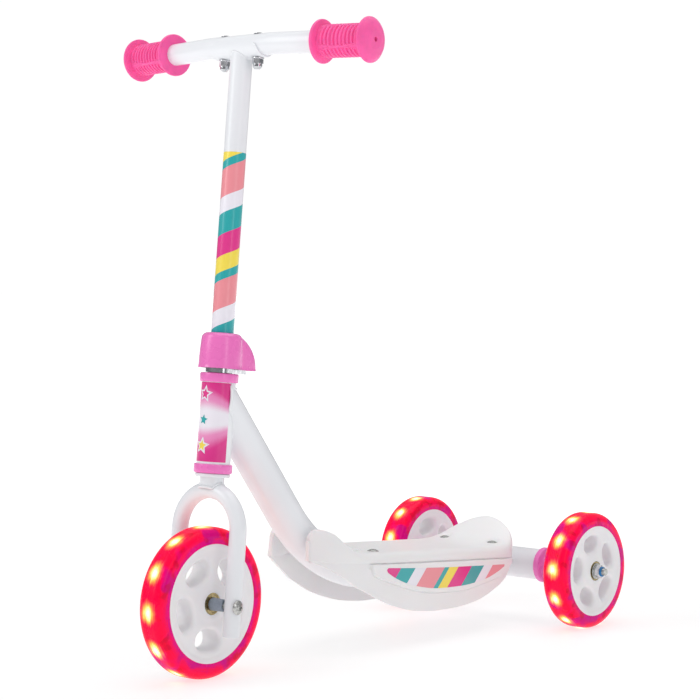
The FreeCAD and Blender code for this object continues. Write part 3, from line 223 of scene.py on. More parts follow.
def rounded(corners, radii, steps=6, closed=True):
    """An outline whose corners are arcs tangent to both sides; a radius of 0 keeps a corner."""
    corners = np.asarray(corners, float)
    count, outline = len(corners), []
    for i, (corner, radius) in enumerate(zip(corners, radii)):
        if radius == 0 or (not closed and i in (0, count - 1)):
            outline.append(corner[None])
            continue
        a = corners[i - 1] - corner
        b = corners[(i + 1) % count] - corner
        a, b = a / np.linalg.norm(a), b / np.linalg.norm(b)
        half = math.acos(np.clip(a @ b, -1, 1)) / 2
        centre = corner + (a + b) / np.linalg.norm(a + b) * radius / math.sin(half)
        start = corner + a * radius / math.tan(half) - centre
        stop = corner + b * radius / math.tan(half) - centre
        turn = math.pi - 2 * half
        t = np.linspace(0, 1, steps + 1)[:, None]
        blend = np.sin((1 - t) * turn) * start + np.sin(t * turn) * stop
        outline.append(centre + blend / math.sin(turn))
    return np.concatenate(outline)


def grid(points, close_rows=False, close_cols=False, u=None, v=None, keep=None):
    """Quads between neighbouring points of a grid, with a UV per corner from its row and column."""
    rows, cols = points.shape[:2]
    r, c = np.meshgrid(np.arange(rows if close_rows else rows - 1),
                       np.arange(cols if close_cols else cols - 1), indexing="ij")
    if keep is not None:
        chosen = keep(r, c)
        r, c = r[chosen], c[chosen]
    next_r, next_c = (r + 1) % rows, (c + 1) % cols
    faces = np.stack([r * cols + c, r * cols + next_c, next_r * cols + next_c, next_r * cols + c], -1)
    u = np.linspace(0, 1, cols + 1) if u is None else np.append(u, u[-1])
    v = np.linspace(0, 1, rows + 1) if v is None else np.append(v, v[-1])
    uv = np.stack([np.stack([u[c], u[c + 1], u[c + 1], u[c]], -1),
                   np.stack([v[r], v[r], v[r + 1], v[r + 1]], -1)], -1)
    return points.reshape(-1, 3), faces.reshape(-1, 4), uv.reshape(-1, 2)


def turned_grid(place, profile, steps=ROUND, v=None, laps=1.0, wobble=None, closed=True):
    """A profile of (radius, height) turned about the place's Z; wobble may change each radius."""
    profile = np.asarray(profile, float)
    angle = np.arange(steps) / steps * 2 * math.pi
    radius, height = np.meshgrid(profile[:, 0], angle)[0], np.meshgrid(profile[:, 1], angle)[0]
    turn = np.repeat(angle[:, None], len(profile), 1)
    if wobble is not None:
        radius = wobble(radius, turn, height)
    points = np.stack([radius * np.cos(turn), radius * np.sin(turn), height], -1)
    across = None if v is None else np.append(v, v[-1])
    return grid(place(points), close_rows=True, close_cols=closed, u=across,
                v=np.linspace(0, laps, steps + 1))


def build(name, grids, finish, body, replaces=(), sharp=38, facing=None):
    """One mesh object from grids: doubles merged, faces turned outwards, edges past sharp kept crisp.

    facing is for an open patch: a function giving the outward direction at each face's middle.
    """
    offset, vertices, faces, uvs = 0, [], [], []
    for points, quads, uv in grids:
        vertices.append(points)
        faces.append(quads + offset)
        uvs.append(uv)
        offset += len(points)
    mesh = bpy.data.meshes.new(name)
    mesh.from_pydata(np.concatenate(vertices).tolist(), [], np.concatenate(faces).tolist())
    layer = mesh.uv_layers.new(name="UVMap")
    layer.data.foreach_set("uv", np.concatenate(uvs).astype(np.float32).ravel())
    work = bmesh.new()
    work.from_mesh(mesh)
    bmesh.ops.remove_doubles(work, verts=work.verts, dist=2e-6)
    bmesh.ops.dissolve_degenerate(work, edges=work.edges, dist=1e-7)
    if facing is None:
        bmesh.ops.recalc_face_normals(work, faces=work.faces)
    else:
        for face in work.faces:
            face.normal_update()
            if face.normal.dot(Vector(facing(face.calc_center_median()))) < 0:
                face.normal_flip()
    work.to_mesh(mesh)
    work.free()
    mesh.shade_smooth()
    mesh.set_sharp_from_angle(angle=math.radians(sharp))
    piece = bpy.data.objects.new(name, mesh)
    bpy.context.scene.collection.objects.link(piece)
    mesh.materials.append(finish)
    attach(piece, body)
    if replaces:
        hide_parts(*replaces)
    return piece


def turned(name, place, corners, radii, finish, body, slot, replaces=(), **options):
    """A solid turned about the place's Z from one outline of corners with rounding radii."""
    return build(name, [turned_grid(place, rounded(corners, radii, 5), **options)],
                 finish, body, replaces)


def tube_grid(place, path, outer, inner, steps=64, start=None, stop=None):
    """A pipe along a path of points, with both walls and both ends, in one closed grid.

    Sections stand square to the path; start and stop may move the end sections along the path.
    """
    path = np.asarray(path, float)
    along = np.gradient(path, axis=0)
    along /= np.linalg.norm(along, axis=1)[:, None]
    guide = np.array([1.0, 0, 0]) if np.abs(along[:, 0]).max() < 0.5 else np.array([0, 1.0, 0])
    side = np.cross(np.cross(along, guide), along)
    side /= np.linalg.norm(side, axis=1)[:, None]
    up = np.cross(along, side)
    angle = np.arange(steps) / steps * 2 * math.pi

    def ring(i, radius, shift=0.0, end=None):
        offset = radius * (np.cos(angle)[:, None] * side[i] + np.sin(angle)[:, None] * up[i])
        points = path[i] + offset + along[i] * shift
        return points if end is None else end(points, along[i])
    last, edge = len(path) - 1, 0.5
    rows = [ring(0, outer - edge, 0, start), ring(0, outer, edge if start is None else 0, start)]
    rows += [ring(i, outer) for i in range(1, last)]
    rows += [ring(last, outer, -edge if stop is None else 0, stop), ring(last, outer - edge, 0, stop)]
    if inner:
        rows += [ring(last, inner, 0, stop)] + [ring(i, inner) for i in range(last - 1, 0, -1)]
        rows += [ring(0, inner, 0, start)]
    points = np.array(rows)
    if not inner:
        first, final = points[0].mean(0), points[-1].mean(0)
        points = np.concatenate([np.repeat(first[None, None], steps, 1), points,
                                 np.repeat(final[None, None], steps, 1)])
    return grid(place(points), close_rows=bool(inner), close_cols=True)


def onto_cylinder(centre, axis, radius, near):
    """Moves points along a direction to a cylinder's near or far side, or beside it where they miss."""
    centre, axis = np.asarray(centre, float), np.asarray(axis, float)

    def move(points, direction):
        flat = direction - axis * (direction @ axis)
        away = points - centre
        away = away - (away @ axis)[:, None] * axis
        a, b = flat @ flat, away @ flat
        c = (away ** 2).sum(1) - radius ** 2
        root = np.sqrt(np.maximum(b * b - a * c, 0))
        return points + direction * ((-b + (root if near else -root)) / a)[:, None]
    return move


def bead(name, place, line, thickness, finish, body):
    """A round weld bead along a closed line of points."""
    line = np.asarray(line, float)
    along = np.roll(line, -1, 0) - np.roll(line, 1, 0)
    along /= np.linalg.norm(along, axis=1)[:, None] + 1e-12
    side = line - line.mean(0)
    side -= (side * along).sum(1)[:, None] * along
    side /= np.linalg.norm(side, axis=1)[:, None]
    up = np.cross(along, side)
    angle = np.linspace(0, 2 * math.pi, 10, endpoint=False)[:, None]
    points = np.array([line + thickness * (math.cos(a) * side + math.sin(a) * up)
                       for a in angle.ravel()])
    return build(name, [grid(place(points), True, True)], finish, body)


# ---------------------------------------------------------------- materials
COORDS, NOISE, RANGE = "ShaderNodeTexCoord", "ShaderNodeTexNoise", "ShaderNodeMapRange"
MATH, MIX = "ShaderNodeMath", "ShaderNodeMix"
RAMP, PARTS = "ShaderNodeValToRGB", "ShaderNodeSeparateXYZ"
A_COLOUR, B_COLOUR, MIXED = 6, 7, 2    # a Mix node's two colour inputs and its colour output


def add(tree, kind, inputs=(), out=None, ramp=(), steps="LINEAR", **settings):
    """Add a node, set its settings, and set or link its inputs, given by name or in order.

    ramp gives a colour ramp its stops, each a position and a colour, and steps how it runs between
    them. out is the output to return in place of the node.
    """
    node = tree.nodes.new(kind)
    for name, value in settings.items():
        setattr(node, name, value)
    for name, value in inputs.items() if isinstance(inputs, dict) else enumerate(inputs):
        if isinstance(value, bpy.types.NodeSocket):
            tree.links.new(value, node.inputs[name])
        else:
            node.inputs[name].default_value = value
    if ramp:
        node.color_ramp.interpolation = steps
        elements = node.color_ramp.elements
        while len(elements) < len(ramp):
            elements.new(1.0)
        for element, (position, value) in zip(elements, ramp):
            element.position, element.color = position, value
    return node if out is None else node.outputs[out]


def new_finish(name, **shader):
    """A material with one Principled shader whose constant inputs are set on its own sockets."""
    finish = bpy.data.materials.new(name)
    finish.use_nodes = True
    tree = finish.node_tree
    tree.nodes.clear()
    surface = add(tree, "ShaderNodeBsdfPrincipled",
                  {key.replace("_", " "): value for key, value in shader.items()})
    add(tree, "ShaderNodeOutputMaterial", {"Surface": surface.outputs["BSDF"]})
    return finish, tree, surface


def shade(value, amount):
    """A colour scaled in brightness, opaque."""
    return (*[channel * amount for channel in value[:3]], 1.0)


def mottled(base, other, size_mm):
    """Paint of two colours mixed by soft noise, whose blotches are about size_mm across."""
    def paint(tree):
        cloud = add(tree, NOISE, {"Vector": add(tree, COORDS, out="Object"),
                                  "Scale": 1 / (size_mm * MM)}, "Fac")
        share = add(tree, RANGE, {"Value": cloud, "From Min": 0.35, "From Max": 0.65}, "Result")
        return add(tree, MIX, {0: share, A_COLOUR: base, B_COLOUR: other}, MIXED, data_type="RGBA")
    return paint


def varied_roughness(tree, surface, low, high, size_mm):
    """Roughness that wanders softly between two values, as handled surfaces do."""
    cloud = add(tree, NOISE, {"Vector": add(tree, COORDS, out="Object"),
                              "Scale": 1 / (size_mm * MM)}, "Fac")
    add_to = surface.inputs["Roughness"]
    tree.links.new(add(tree, RANGE, {"Value": cloud, "From Min": 0.3, "From Max": 0.7, "To Min": low,
                                     "To Max": high}, "Result"), add_to)


def grained(tree, surface, size_mm, depth_mm, strength):
    """Bump of a grain of one size and depth on the shader's normal."""
    grain = add(tree, NOISE, {"Vector": add(tree, COORDS, out="Object"), "Scale": 1 / (size_mm * MM),
                              "Detail": 3.0}, "Fac")
    tree.links.new(add(tree, "ShaderNodeBump", {"Height": grain, "Strength": strength,
                                                "Distance": depth_mm * MM}, "Normal"),
                   surface.inputs["Normal"])


def coated(name, paint, rough, grain, **shader):
    """A finish from its paint, roughness (low, high, mm) and grain (mm, depth in mm, strength)."""
    finish, tree, surface = new_finish(name, **shader)
    tree.links.new(paint(tree), surface.inputs["Base Color"])
    varied_roughness(tree, surface, *rough)
    grained(tree, surface, *grain)
    return finish


def polypropylene(name, base, grain_mm):
    """Injection-moulded polypropylene or nylon: soft gloss over a fine spark-eroded grain."""
    return coated(name, mottled(base, shade(base, 0.975), 90), (0.36, 0.46, 40), (grain_mm, 0.04, 0.3),
                  IOR=1.49, Subsurface_Weight=0.08, Subsurface_Scale=2 * MM)


def metal(name, bright, dull, low, high, size_mm):
    """Plated steel: a metal with soft clouding of colour and, half as large, of roughness."""
    return coated(name, mottled(linear(bright), linear(dull), size_mm), (low, high, size_mm / 2),
                  (0.4, 0.01, 0.15), Metallic=1.0)


def small_nylon(name, code):
    """Machined or moulded nylon in small parts: satin, with a fine grain."""
    base = linear(code)
    return coated(name, mottled(base, shade(base, 0.85), 3), (0.35, 0.5, 2), (0.4, 0.02, 0.2), IOR=1.53)


def printed(name, paint):
    """Printed vinyl foil under a clear gloss layer, with the slow waviness of a foil laid by hand."""
    return coated(name, paint, (0.34, 0.42, 10), (2.5, 0.01, 0.15), IOR=1.5, Coat_Weight=0.5,
                  Coat_Roughness=0.15)


def lit_urethane():
    """Cast clear-pink urethane with lights shining through it.

    U runs across the section from hub to hub (0 to 1) and V once round for each light. Each light
    is a spot round the middle of the tread: a white core in yellow, in a peach halo, drawn out into
    fine streaks along the tread. Its reach is the spot's oval distance plus clouds of about 9 mm.
    Between the lights the body is red, magenta beside the hub, with purple and dark red patches.
    """
    finish, tree, surface = new_finish("lit pink urethane", IOR=1.5, Specular_IOR_Level=0.12)
    flat, solid = add(tree, COORDS, out="UV"), add(tree, COORDS, out="Object")
    uv = add(tree, PARTS, [flat])
    turn = add(tree, MATH, [uv.outputs["Y"]], 0, operation="FRACT")
    cloud = add(tree, NOISE, {"Vector": solid, "Scale": 1 / (9 * MM), "Detail": 3.0}, "Fac")
    cloud = add(tree, MATH, [cloud, 0.6, -0.75], 0, operation="MULTIPLY_ADD")
    lines = add(tree, "ShaderNodeMapping", {"Vector": flat, "Scale": (70, 1.2, 1)}, 0)
    streaks = add(tree, NOISE, {"Vector": lines, "Scale": 1.0, "Detail": 1.0}, "Fac")
    cloud = add(tree, MATH, [streaks, 0.9, cloud], 0, operation="MULTIPLY_ADD")

    middle, half_width, half_length = 0.52, 0.15, 0.27
    wide = add(tree, MATH, [uv.outputs["X"], 1 / half_width, -middle / half_width], 0,
               operation="MULTIPLY_ADD")
    long = add(tree, MATH, [turn, 1 / half_length, -0.5 / half_length], 0, operation="MULTIPLY_ADD")
    square = add(tree, MATH, [wide, wide], 0, operation="MULTIPLY")
    square = add(tree, MATH, [long, long, square], 0, operation="MULTIPLY_ADD")
    reach = add(tree, MATH, [add(tree, MATH, [square], 0, operation="SQRT"), cloud], 0, operation="ADD")
    reach = add(tree, MATH, [reach, 0.5], 0, operation="MULTIPLY")
    glow = add(tree, RAMP, [reach], "Color", [
        (0.0, linear("#FFFFF0")), (0.2, linear("#FFF8A8")), (0.36, linear("#FFCB40")),
        (0.5, linear("#FF7A45")), (0.68, linear("#F81040")), (1.0, linear("#F00044"))])
    power = add(tree, RAMP, [reach], "Color", [
        (place, (level, level, level, 1)) for place, level in
        ((0.0, 1.0), (0.25, 0.75), (0.45, 0.5), (0.7, 0.26), (1.0, 0.17))])

    side = add(tree, MATH, [uv.outputs["X"], 2.0, -1.0], 0, operation="MULTIPLY_ADD")
    side = add(tree, MATH, [side], 0, operation="ABSOLUTE")
    side = add(tree, MATH, [cloud, 0.5, side], 0, operation="MULTIPLY_ADD")
    body = add(tree, RAMP, [side], "Color", [
        (0.0, colours().tread), (0.55, linear("#F8003C")), (0.8, linear("#E60050")),
        (0.94, colours().wall), (1.0, linear("#D2006E"))])
    for size_mm, level, amount, code in ((22, 0.53, 0.75, "#B4007A"), (12, 0.56, 0.55, "#B40020")):
        patch = add(tree, NOISE, {"Vector": solid, "Scale": 1 / (size_mm * MM), "Detail": 1.0}, "Fac")
        share = add(tree, RANGE, {"Value": patch, "From Min": level, "From Max": level + 0.1,
                                  "To Max": amount}, "Result")
        body = add(tree, MIX, {0: share, A_COLOUR: body, B_COLOUR: linear(code)}, MIXED,
                   data_type="RGBA")
    far = add(tree, RANGE, {"Value": reach, "From Min": 0.55, "From Max": 0.75}, "Result")
    glow = add(tree, MIX, {0: far, A_COLOUR: glow, B_COLOUR: body}, MIXED, data_type="RGBA")
    power = add(tree, MATH, [power, sizes().glow], 0, operation="MULTIPLY")
    for socket, value in (("Base Color", body), ("Emission Color", glow), ("Emission Strength", power)):
        tree.links.new(value, surface.inputs[socket])
    varied_roughness(tree, surface, 0.18, 0.3, 10)
    return finish


def banded(bands):
    """Paint in constant bands along V, each a width and a colour, repeating."""
    def paint(tree):
        uv = add(tree, PARTS, [add(tree, COORDS, out="UV")])
        along = add(tree, MATH, [uv.outputs["Y"]], 0, operation="FRACT")
        widths = np.array([width for width, _ in bands])
        edges = (np.cumsum(widths) - widths) / widths.sum()
        return add(tree, RAMP, [along], "Color",
                   [(edge, value) for edge, (_, value) in zip(edges, bands)], "CONSTANT")
    return paint


def stem_bands():
    """The stripe order, top to bottom on the stem, with each band's width in mm."""
    c = colours()
    return [(16.3, c.yellow), (8.3, c.teal), (28.7, c.salmon), (16.6, c.lilac), (21.6, c.teal),
            (21.8, c.magenta)]


def side_bands():
    """The crescent's stripes from front to rear, with each band's width in mm along the side."""
    c = colours()
    return [(21.8, c.magenta), (24.8, c.teal), (18.5, c.lilac), (32, c.salmon), (8.8, c.teal),
            (15.7, c.yellow), (24.5, c.magenta), (22, c.teal), (17, c.lilac), (45, c.salmon)]


def fading(tree):
    """Magenta at both ends of V that fades to white in the middle, with a fine print dither.

    The white narrows to both sides: V's distance from the middle grows with U's squared. The
    dither's dots, about 0.6 mm, are coarser than real ones, so that they show.
    """
    uv = add(tree, PARTS, [add(tree, COORDS, out="UV")])
    middle, dots = 0.52, 0.05
    across = add(tree, MATH, [uv.outputs["X"], 2.0, -1.0], 0, operation="MULTIPLY_ADD")
    spread = add(tree, MATH, [across, across], 0, operation="MULTIPLY")
    spread = add(tree, MATH, [spread, 0.7, 0.95], 0, operation="MULTIPLY_ADD")
    along = add(tree, MATH, [uv.outputs["Y"], middle], 0, operation="SUBTRACT")
    along = add(tree, MATH, [along, spread, middle - dots / 2], 0, operation="MULTIPLY_ADD")
    dither = add(tree, NOISE, {"Vector": add(tree, COORDS, out="Object"),
                               "Scale": 1 / (0.6 * MM)}, "Fac")
    along = add(tree, MATH, [dither, dots, along], 0, operation="MULTIPLY_ADD")
    deep, rich, soft, pale = linear("#DD1E86"), linear("#E0258A"), linear("#EE8CC2"), linear("#F3EEF7")
    return add(tree, RAMP, [along], "Color", [
        (0.0, deep), (0.12, rich), (0.3, soft), (0.44, pale), (0.6, pale), (0.76, soft), (0.9, rich),
        (1.0, deep)], "EASE")


FINISHES = {}


def make_finishes():
    """Every material once, by the name of the record's slot or of the print."""
    c = colours()
    FINISHES.update(
        # Polyester powder coat baked on steel: satin, with orange peel about 1.6 mm between crests.
        white_powder_coat=coated("powder coated steel", mottled(c.coat, shade(c.coat, 0.97), 60),
                                 (0.3, 0.38, 25), (1.6, 0.05, 0.25), IOR=1.5, Coat_Weight=0.35,
                                 Coat_Roughness=0.12),
        white_plastic=polypropylene("moulded white polypropylene", c.plastic, 0.7),
        hub_plastic=polypropylene("moulded white nylon", c.hub, 0.9),
        # Injection-moulded ABS: bright gloss, with flow marks about 18 mm long and 3 mm waviness.
        orchid_plastic=coated("glossy orchid ABS", mottled(c.orchid, shade(c.orchid, 0.97), 18),
                              (0.24, 0.32, 12), (3.0, 0.02, 0.2), IOR=1.54, Coat_Weight=0.2,
                              Coat_Roughness=0.1),
        # Moulded thermoplastic rubber: matt with a slight sheen and a 0.5 mm grain.
        grip_rubber=coated("moulded grip rubber", mottled(c.grip, shade(c.grip, 0.92), 8),
                           (0.45, 0.58, 6), (0.5, 0.03, 0.35), IOR=1.52, Sheen_Weight=0.15,
                           Subsurface_Weight=0.1, Subsurface_Scale=1.5 * MM),
        tyre_urethane=lit_urethane(),
        steel=metal("zinc plated steel", "#C9C9C6", "#A9AAA8", 0.22, 0.36, 3),
        chrome_steel=metal("bright chrome plate", "#E2E3E6", "#C4C6CA", 0.06, 0.14, 5),
        bearing_steel=metal("yellow passivated steel", "#B9A779", "#8C7F60", 0.2, 0.34, 1.5),
        grey_nylon=small_nylon("grey moulded nylon", "#8F9AA8"),
        blue_nylon=small_nylon("blue locking nylon", "#1272B0"),
        magnet=metal("sintered magnet", "#5A5A5E", "#444448", 0.4, 0.5, 2),
        light_lens=small_nylon("clear light module", "#F7EFC4"),
        stem_stripes=printed("striped vinyl", banded(stem_bands())),
        side_stripes=printed("side striped vinyl", banded(side_bands())),
        label_fade=printed("faded label vinyl", fading))
    for name in ("yellow", "teal", "magenta", "lilac"):
        ink = getattr(c, name)
        FINISHES[f"ink_{name}"] = printed(f"{name} vinyl ink", mottled(ink, shade(ink, 0.95), 4))


# ---------------------------------------------------------------- wheels
def tyre_profile(radius, hub_radius, width):
    """Tyre section from hub to hub: rounded shoulders, a slight crown and five fine tread grooves."""
    half = width / 2
    seat, shoulder, spacing = hub_radius - 0.4, 9, 2.4
    outline = rounded([(seat, -half), (radius, -half), (radius, half), (seat, half)],
                      [0, shoulder, shoulder, 0], 10, closed=False)
    steps = np.linspace(-half + shoulder, half - shoulder, 61)[1:-1]
    tread = np.stack([np.full_like(steps, radius), steps], 1)
    lower, upper = outline[outline[:, 1] < 0], outline[outline[:, 1] >= 0]
    outline = np.concatenate([lower, tread, upper])
    middle = np.clip(1 - (outline[:, 1] / (half - 8)) ** 2, 0, 1)
    groove = smooth(np.cos(outline[:, 1] * 2 * math.pi / spacing), 0.2, 1.0) * (middle > 0)
    outline[:, 0] -= groove * sizes().groove / MM
    return outline


def make_tyre(name, place, node, hub_node, body, phase):
    """Turned tyre with its section closed by the hub seat; UV follows the section and the lights."""
    low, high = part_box(node)
    radius, width = (high[2] - low[2]) / 2 / MM, (high[0] - low[0]) / MM
    hub_low, hub_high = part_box(hub_node)
    hub_radius = (hub_high[2] - hub_low[2]) / 2 / MM
    outline = tyre_profile(radius, hub_radius, width)
    length = np.append(0, np.cumsum(np.linalg.norm(np.diff(outline, axis=0), axis=1)))
    across = length / length[-1]
    angle_steps = 240
    turn = place.turned(2, phase)
    grids = [turned_grid(turn, outline, angle_steps, across, sizes().lights, closed=False)]
    seat = np.array([outline[-1], outline[0]])
    grids.append(turned_grid(turn, seat, angle_steps, np.array([1.0, 1.0]), sizes().lights,
                             closed=False))
    return build(name, grids, FINISHES["tyre_urethane"], body, [node])


def hub_sector(radius, bore, half):
    """One fifth of a hub: a plate with one rounded pocket through it, in polar rings round the pocket.

    Rays leave the pocket's middle and end on the rim, the bore or the sector's sides. Along each
    ray the surface runs over the back face, rolls into the pocket, crosses it and rolls out again.
    """
    middle, sector = radius * 0.605, math.radians(36)
    corners = [math.atan2(radius * math.sin(sector), radius * math.cos(sector) - middle),
               math.atan2(bore * math.sin(sector), bore * math.cos(sector) - middle)]
    spans = [(0, corners[0], 10), (corners[0], corners[1], 22), (corners[1], math.pi, 8)]
    turn = np.concatenate([np.linspace(a, b, n, endpoint=False) for a, b, n in spans] + [[math.pi]])
    turn = np.concatenate([turn, -turn[-2:0:-1]])
    c, s = np.cos(turn), np.sin(turn)
    rim = -middle * c + np.sqrt(radius ** 2 - (middle * s) ** 2)
    hole = np.where(np.abs(turn) >= corners[1] - 1e-9,
                    -middle * c - np.sqrt(np.maximum(bore ** 2 - (middle * s) ** 2, 0)), 1e9)
    slope = math.tan(sector)
    lean = np.abs(s) - slope * c
    side = np.where(lean > 1e-9, middle * slope / np.where(lean > 1e-9, lean, 1), 1e9)
    side = np.where((np.abs(turn) > corners[0] - 1e-9) & (np.abs(turn) < corners[1] + 1e-9), side, 1e9)
    reach = np.minimum(np.minimum(rim, hole), side)
    broad = radius * 0.27 * (1 + 0.14 * c)
    tall = radius * 0.172
    pocket = ((np.abs(c) / tall) ** 2.5 + (np.abs(s) / broad) ** 2.5) ** (-1 / 2.5)
    roll = 5.0
    quarter = np.linspace(0, math.pi / 2, 8)
    rows = []
    for share in np.linspace(1, 0, 7)[:-1]:
        rows.append((pocket + roll + (reach - pocket - roll) * share, np.full_like(turn, half)))
    for angle in quarter[::-1]:
        depth = roll * (1 - math.sin(angle))
        rows.append((pocket + roll * (1 - math.cos(angle)), np.full_like(turn, half - depth)))
    rows.append((pocket - 1.0, np.full_like(turn, 0.0)))
    back = [(distance, -height) for distance, height in rows[-2::-1]]
    distance = np.array([row[0] for row in rows + back])
    height = np.array([row[1] for row in rows + back])
    x, y = middle + distance * c, distance * s
    from_axle = np.hypot(x, y)
    dish = 1.1 * smooth(from_axle, 14, 20) * (1 - smooth(from_axle, radius - 6.5, radius - 3.5))
    height = height * (1 - dish / half)
    edges = np.abs(turn)
    closing = (edges <= corners[0] + 1e-9) | (edges >= corners[1] - 1e-9)
    return np.stack([x, y, height], -1), closing


def make_hub(name, place, node, body, phase):
    """A white moulded hub from five equal sectors, closed at its rim and its bore."""
    low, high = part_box(node)
    radius, half = (high[2] - low[2]) / 2 / MM, (high[0] - low[0]) / 2 / MM
    points, closing = hub_sector(radius, BEARING_RADIUS, half)
    rows, grids = len(points), []
    for i in range(5):
        turn = place.turned(2, phase + 72 * i)
        grids.append(grid(turn(points), close_cols=True))

        def wall(r, c):
            return (r == rows - 1) & closing[c] & closing[(c + 1) % len(closing)]
        grids.append(grid(turn(points), close_rows=True, close_cols=True, keep=wall))
    return build(name, grids, FINISHES["hub_plastic"], body, [node], sharp=50)


def make_bearings(name, place, node, half, body):
    """A pair of ball bearings: outer race, sunk gold shield and inner race."""
    grids = []
    for side in SIDES.values():
        top, bottom = half, half - BEARING_WIDTH
        outline = [(BORE, bottom), (BEARING_RADIUS, bottom), (BEARING_RADIUS, top - 0.4), (10.6, top),
                   (9.2, top), (9.0, top - 0.7), (6.6, top - 0.7), (6.4, top), (4.4, top),
                   (BORE, top - 0.35)]
        grids.append(turned_grid(outward(place, side), outline, 64))
    return build(name, grids, FINISHES["bearing_steel"], body, [node], sharp=30)


def make_wheel(prefix, suffix, joint, body, light_phase, hub_phase):
    """Tyre, hub and bearings of one wheel."""
    place = wheel_place(joint)
    node = f"{prefix}_hub{suffix}"
    half = (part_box(node)[1][0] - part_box(node)[0][0]) / 2 / MM
    make_tyre(f"{prefix}_tyre_cast{suffix}", place, f"{prefix}_tyre{suffix}", node, body, light_phase)
    make_hub(f"{prefix}_hub_moulding{suffix}", place, node, body, hub_phase)
    make_bearings(f"{prefix}_ball_bearings{suffix}", place, f"{prefix}_bearings{suffix}", half, body)


# ---------------------------------------------------------------- small hardware
def hexagon(flats, chamfer, low, high):
    """Wobble that makes a turned nut six-sided between two heights, with chamfered corners."""
    def shape(radius, turn, height):
        flat = flats / 2 / np.cos((turn + math.pi / 6) % (math.pi / 3) - math.pi / 6)
        cap = flats / 2 * 1.02 + chamfer * np.minimum(height - low, high - height)
        hexed = np.minimum(flat, cap)
        return np.where(radius > flats * 0.46, hexed, radius)
    return shape


def nut_grid(place, flats, bore, low, high):
    """A hexagon nut with a round bore."""
    outer = flats * 0.55
    heights = np.array([low, low + 0.3, low + 1.0, high - 1.0, high - 0.3, high])
    outline = [(bore, low), *[(outer, height) for height in heights], (bore, high)]
    return turned_grid(place, outline, 96, wobble=hexagon(flats, 2.2, low - 0.01, high + 0.01))


def dome_outline(radius, height, recess, depth):
    """Section of a low domed head with a recess in its middle."""
    ball = (radius ** 2 + (height * 0.8) ** 2) / (2 * height * 0.8)
    reach = np.linspace(radius, recess, 9)
    top = height * 0.2 + np.sqrt(ball ** 2 - reach ** 2) - (ball - height * 0.8)
    dome = np.stack([reach, top], 1)
    return np.concatenate([[(0, 0), (radius, 0)], dome,
                           [(recess * 0.92, dome[-1, 1] - depth), (0, dome[-1, 1] - depth)]])


def six_lobes(limit, share):
    """Wobble that makes a turned recess inside a radius six-lobed, as a driver socket is."""
    def shape(radius, turn, height):
        return np.where(radius <= limit, radius * (1 + share * np.cos(6 * turn)), radius)
    return shape


def bolt_head_grid(place, radius, height, recess):
    """A low domed head turned about its screw, with a six-lobed recess in the middle."""
    return turned_grid(place, dome_outline(radius, height, recess, height * 0.45), 72, closed=False,
                       wobble=six_lobes(recess * 1.05, 0.16))


def rod_grid(place, radius, low, high, pitch=0.0):
    """A round rod; a pitch gives it the ridges of a thread."""
    steps = 2 if not pitch else int((high - low) / pitch * 4) + 1
    height = np.linspace(low + 0.4, high - 0.4, steps)
    ridge = np.zeros(steps) if not pitch else 0.22 * (np.arange(steps) % 4 == 2)
    side = np.stack([radius - 0.1 - ridge, height], 1)
    outline = np.concatenate([[(0, low), (radius - 0.6, low)], side, [(radius - 0.6, high), (0, high)]])
    return turned_grid(place, outline, 48, closed=False)


# ---------------------------------------------------------------- fork, stem and head
def arch_path():
    """The fork's middle line: up one leg, half a circle over the wheel and down the other leg."""
    foot = -30
    leg = np.linspace(foot, SHOULDER, 5)[:-1]
    turn = np.linspace(0, math.pi, 41)
    right = np.stack([np.full_like(leg, LEG), leg * 0, leg], 1)
    arc = np.stack([LEG * np.cos(turn), turn * 0, SHOULDER + LEG * np.sin(turn)], 1)
    return np.concatenate([right, arc, right[::-1] * [-1, 1, 1]])


def make_fork():
    """The bent fork tube, the steerer whose foot follows the arch, their weld and the crown race."""
    finish = FINISHES["white_powder_coat"]
    build("fork_bent_tube", [tube_grid(STEER, arch_path(), FORK_RADIUS, FORK_RADIUS - FORK_WALL)],
          finish, "steering",
          ["fork_tube"])
    turn = np.linspace(0, 2 * math.pi, 96, endpoint=False)
    outer, inner, top = STEERER_RADIUS, STEERER_RADIUS - 1.0, 262
    x, y = outer * np.cos(turn), outer * np.sin(turn)
    crown = LEG + np.sqrt(np.maximum(FORK_RADIUS ** 2 - y ** 2, 0))
    seat = SHOULDER + np.sqrt(crown ** 2 - x ** 2)
    seat = np.maximum(seat, SHOULDER + np.sqrt(LEG ** 2 - x ** 2) + 3.0)
    rows = [np.stack([x, y, seat], 1), np.stack([x, y, seat * 0 + top], 1),
            np.stack([x, y, seat * 0 + top], 1) * [inner / outer, inner / outer, 1],
            np.stack([x, y, seat], 1) * [inner / outer, inner / outer, 1]]
    build("fork_steerer", [grid(STEER(np.array(rows)), True, True)], finish, "steering",
          ["steerer_tube"])
    bead("fork_crown_weld", STEER, np.stack([x, y, seat + 0.3], 1), 1.5, finish, "steering")
    low, high = 123.6, 127.0
    turned("fork_race", STEER, [(outer, low), (17.5, low), (17.5, high), (outer, high)],
           [0, 0.9, 0.9, 0], finish, "steering", "white_powder_coat", ["fork_crown_race"])


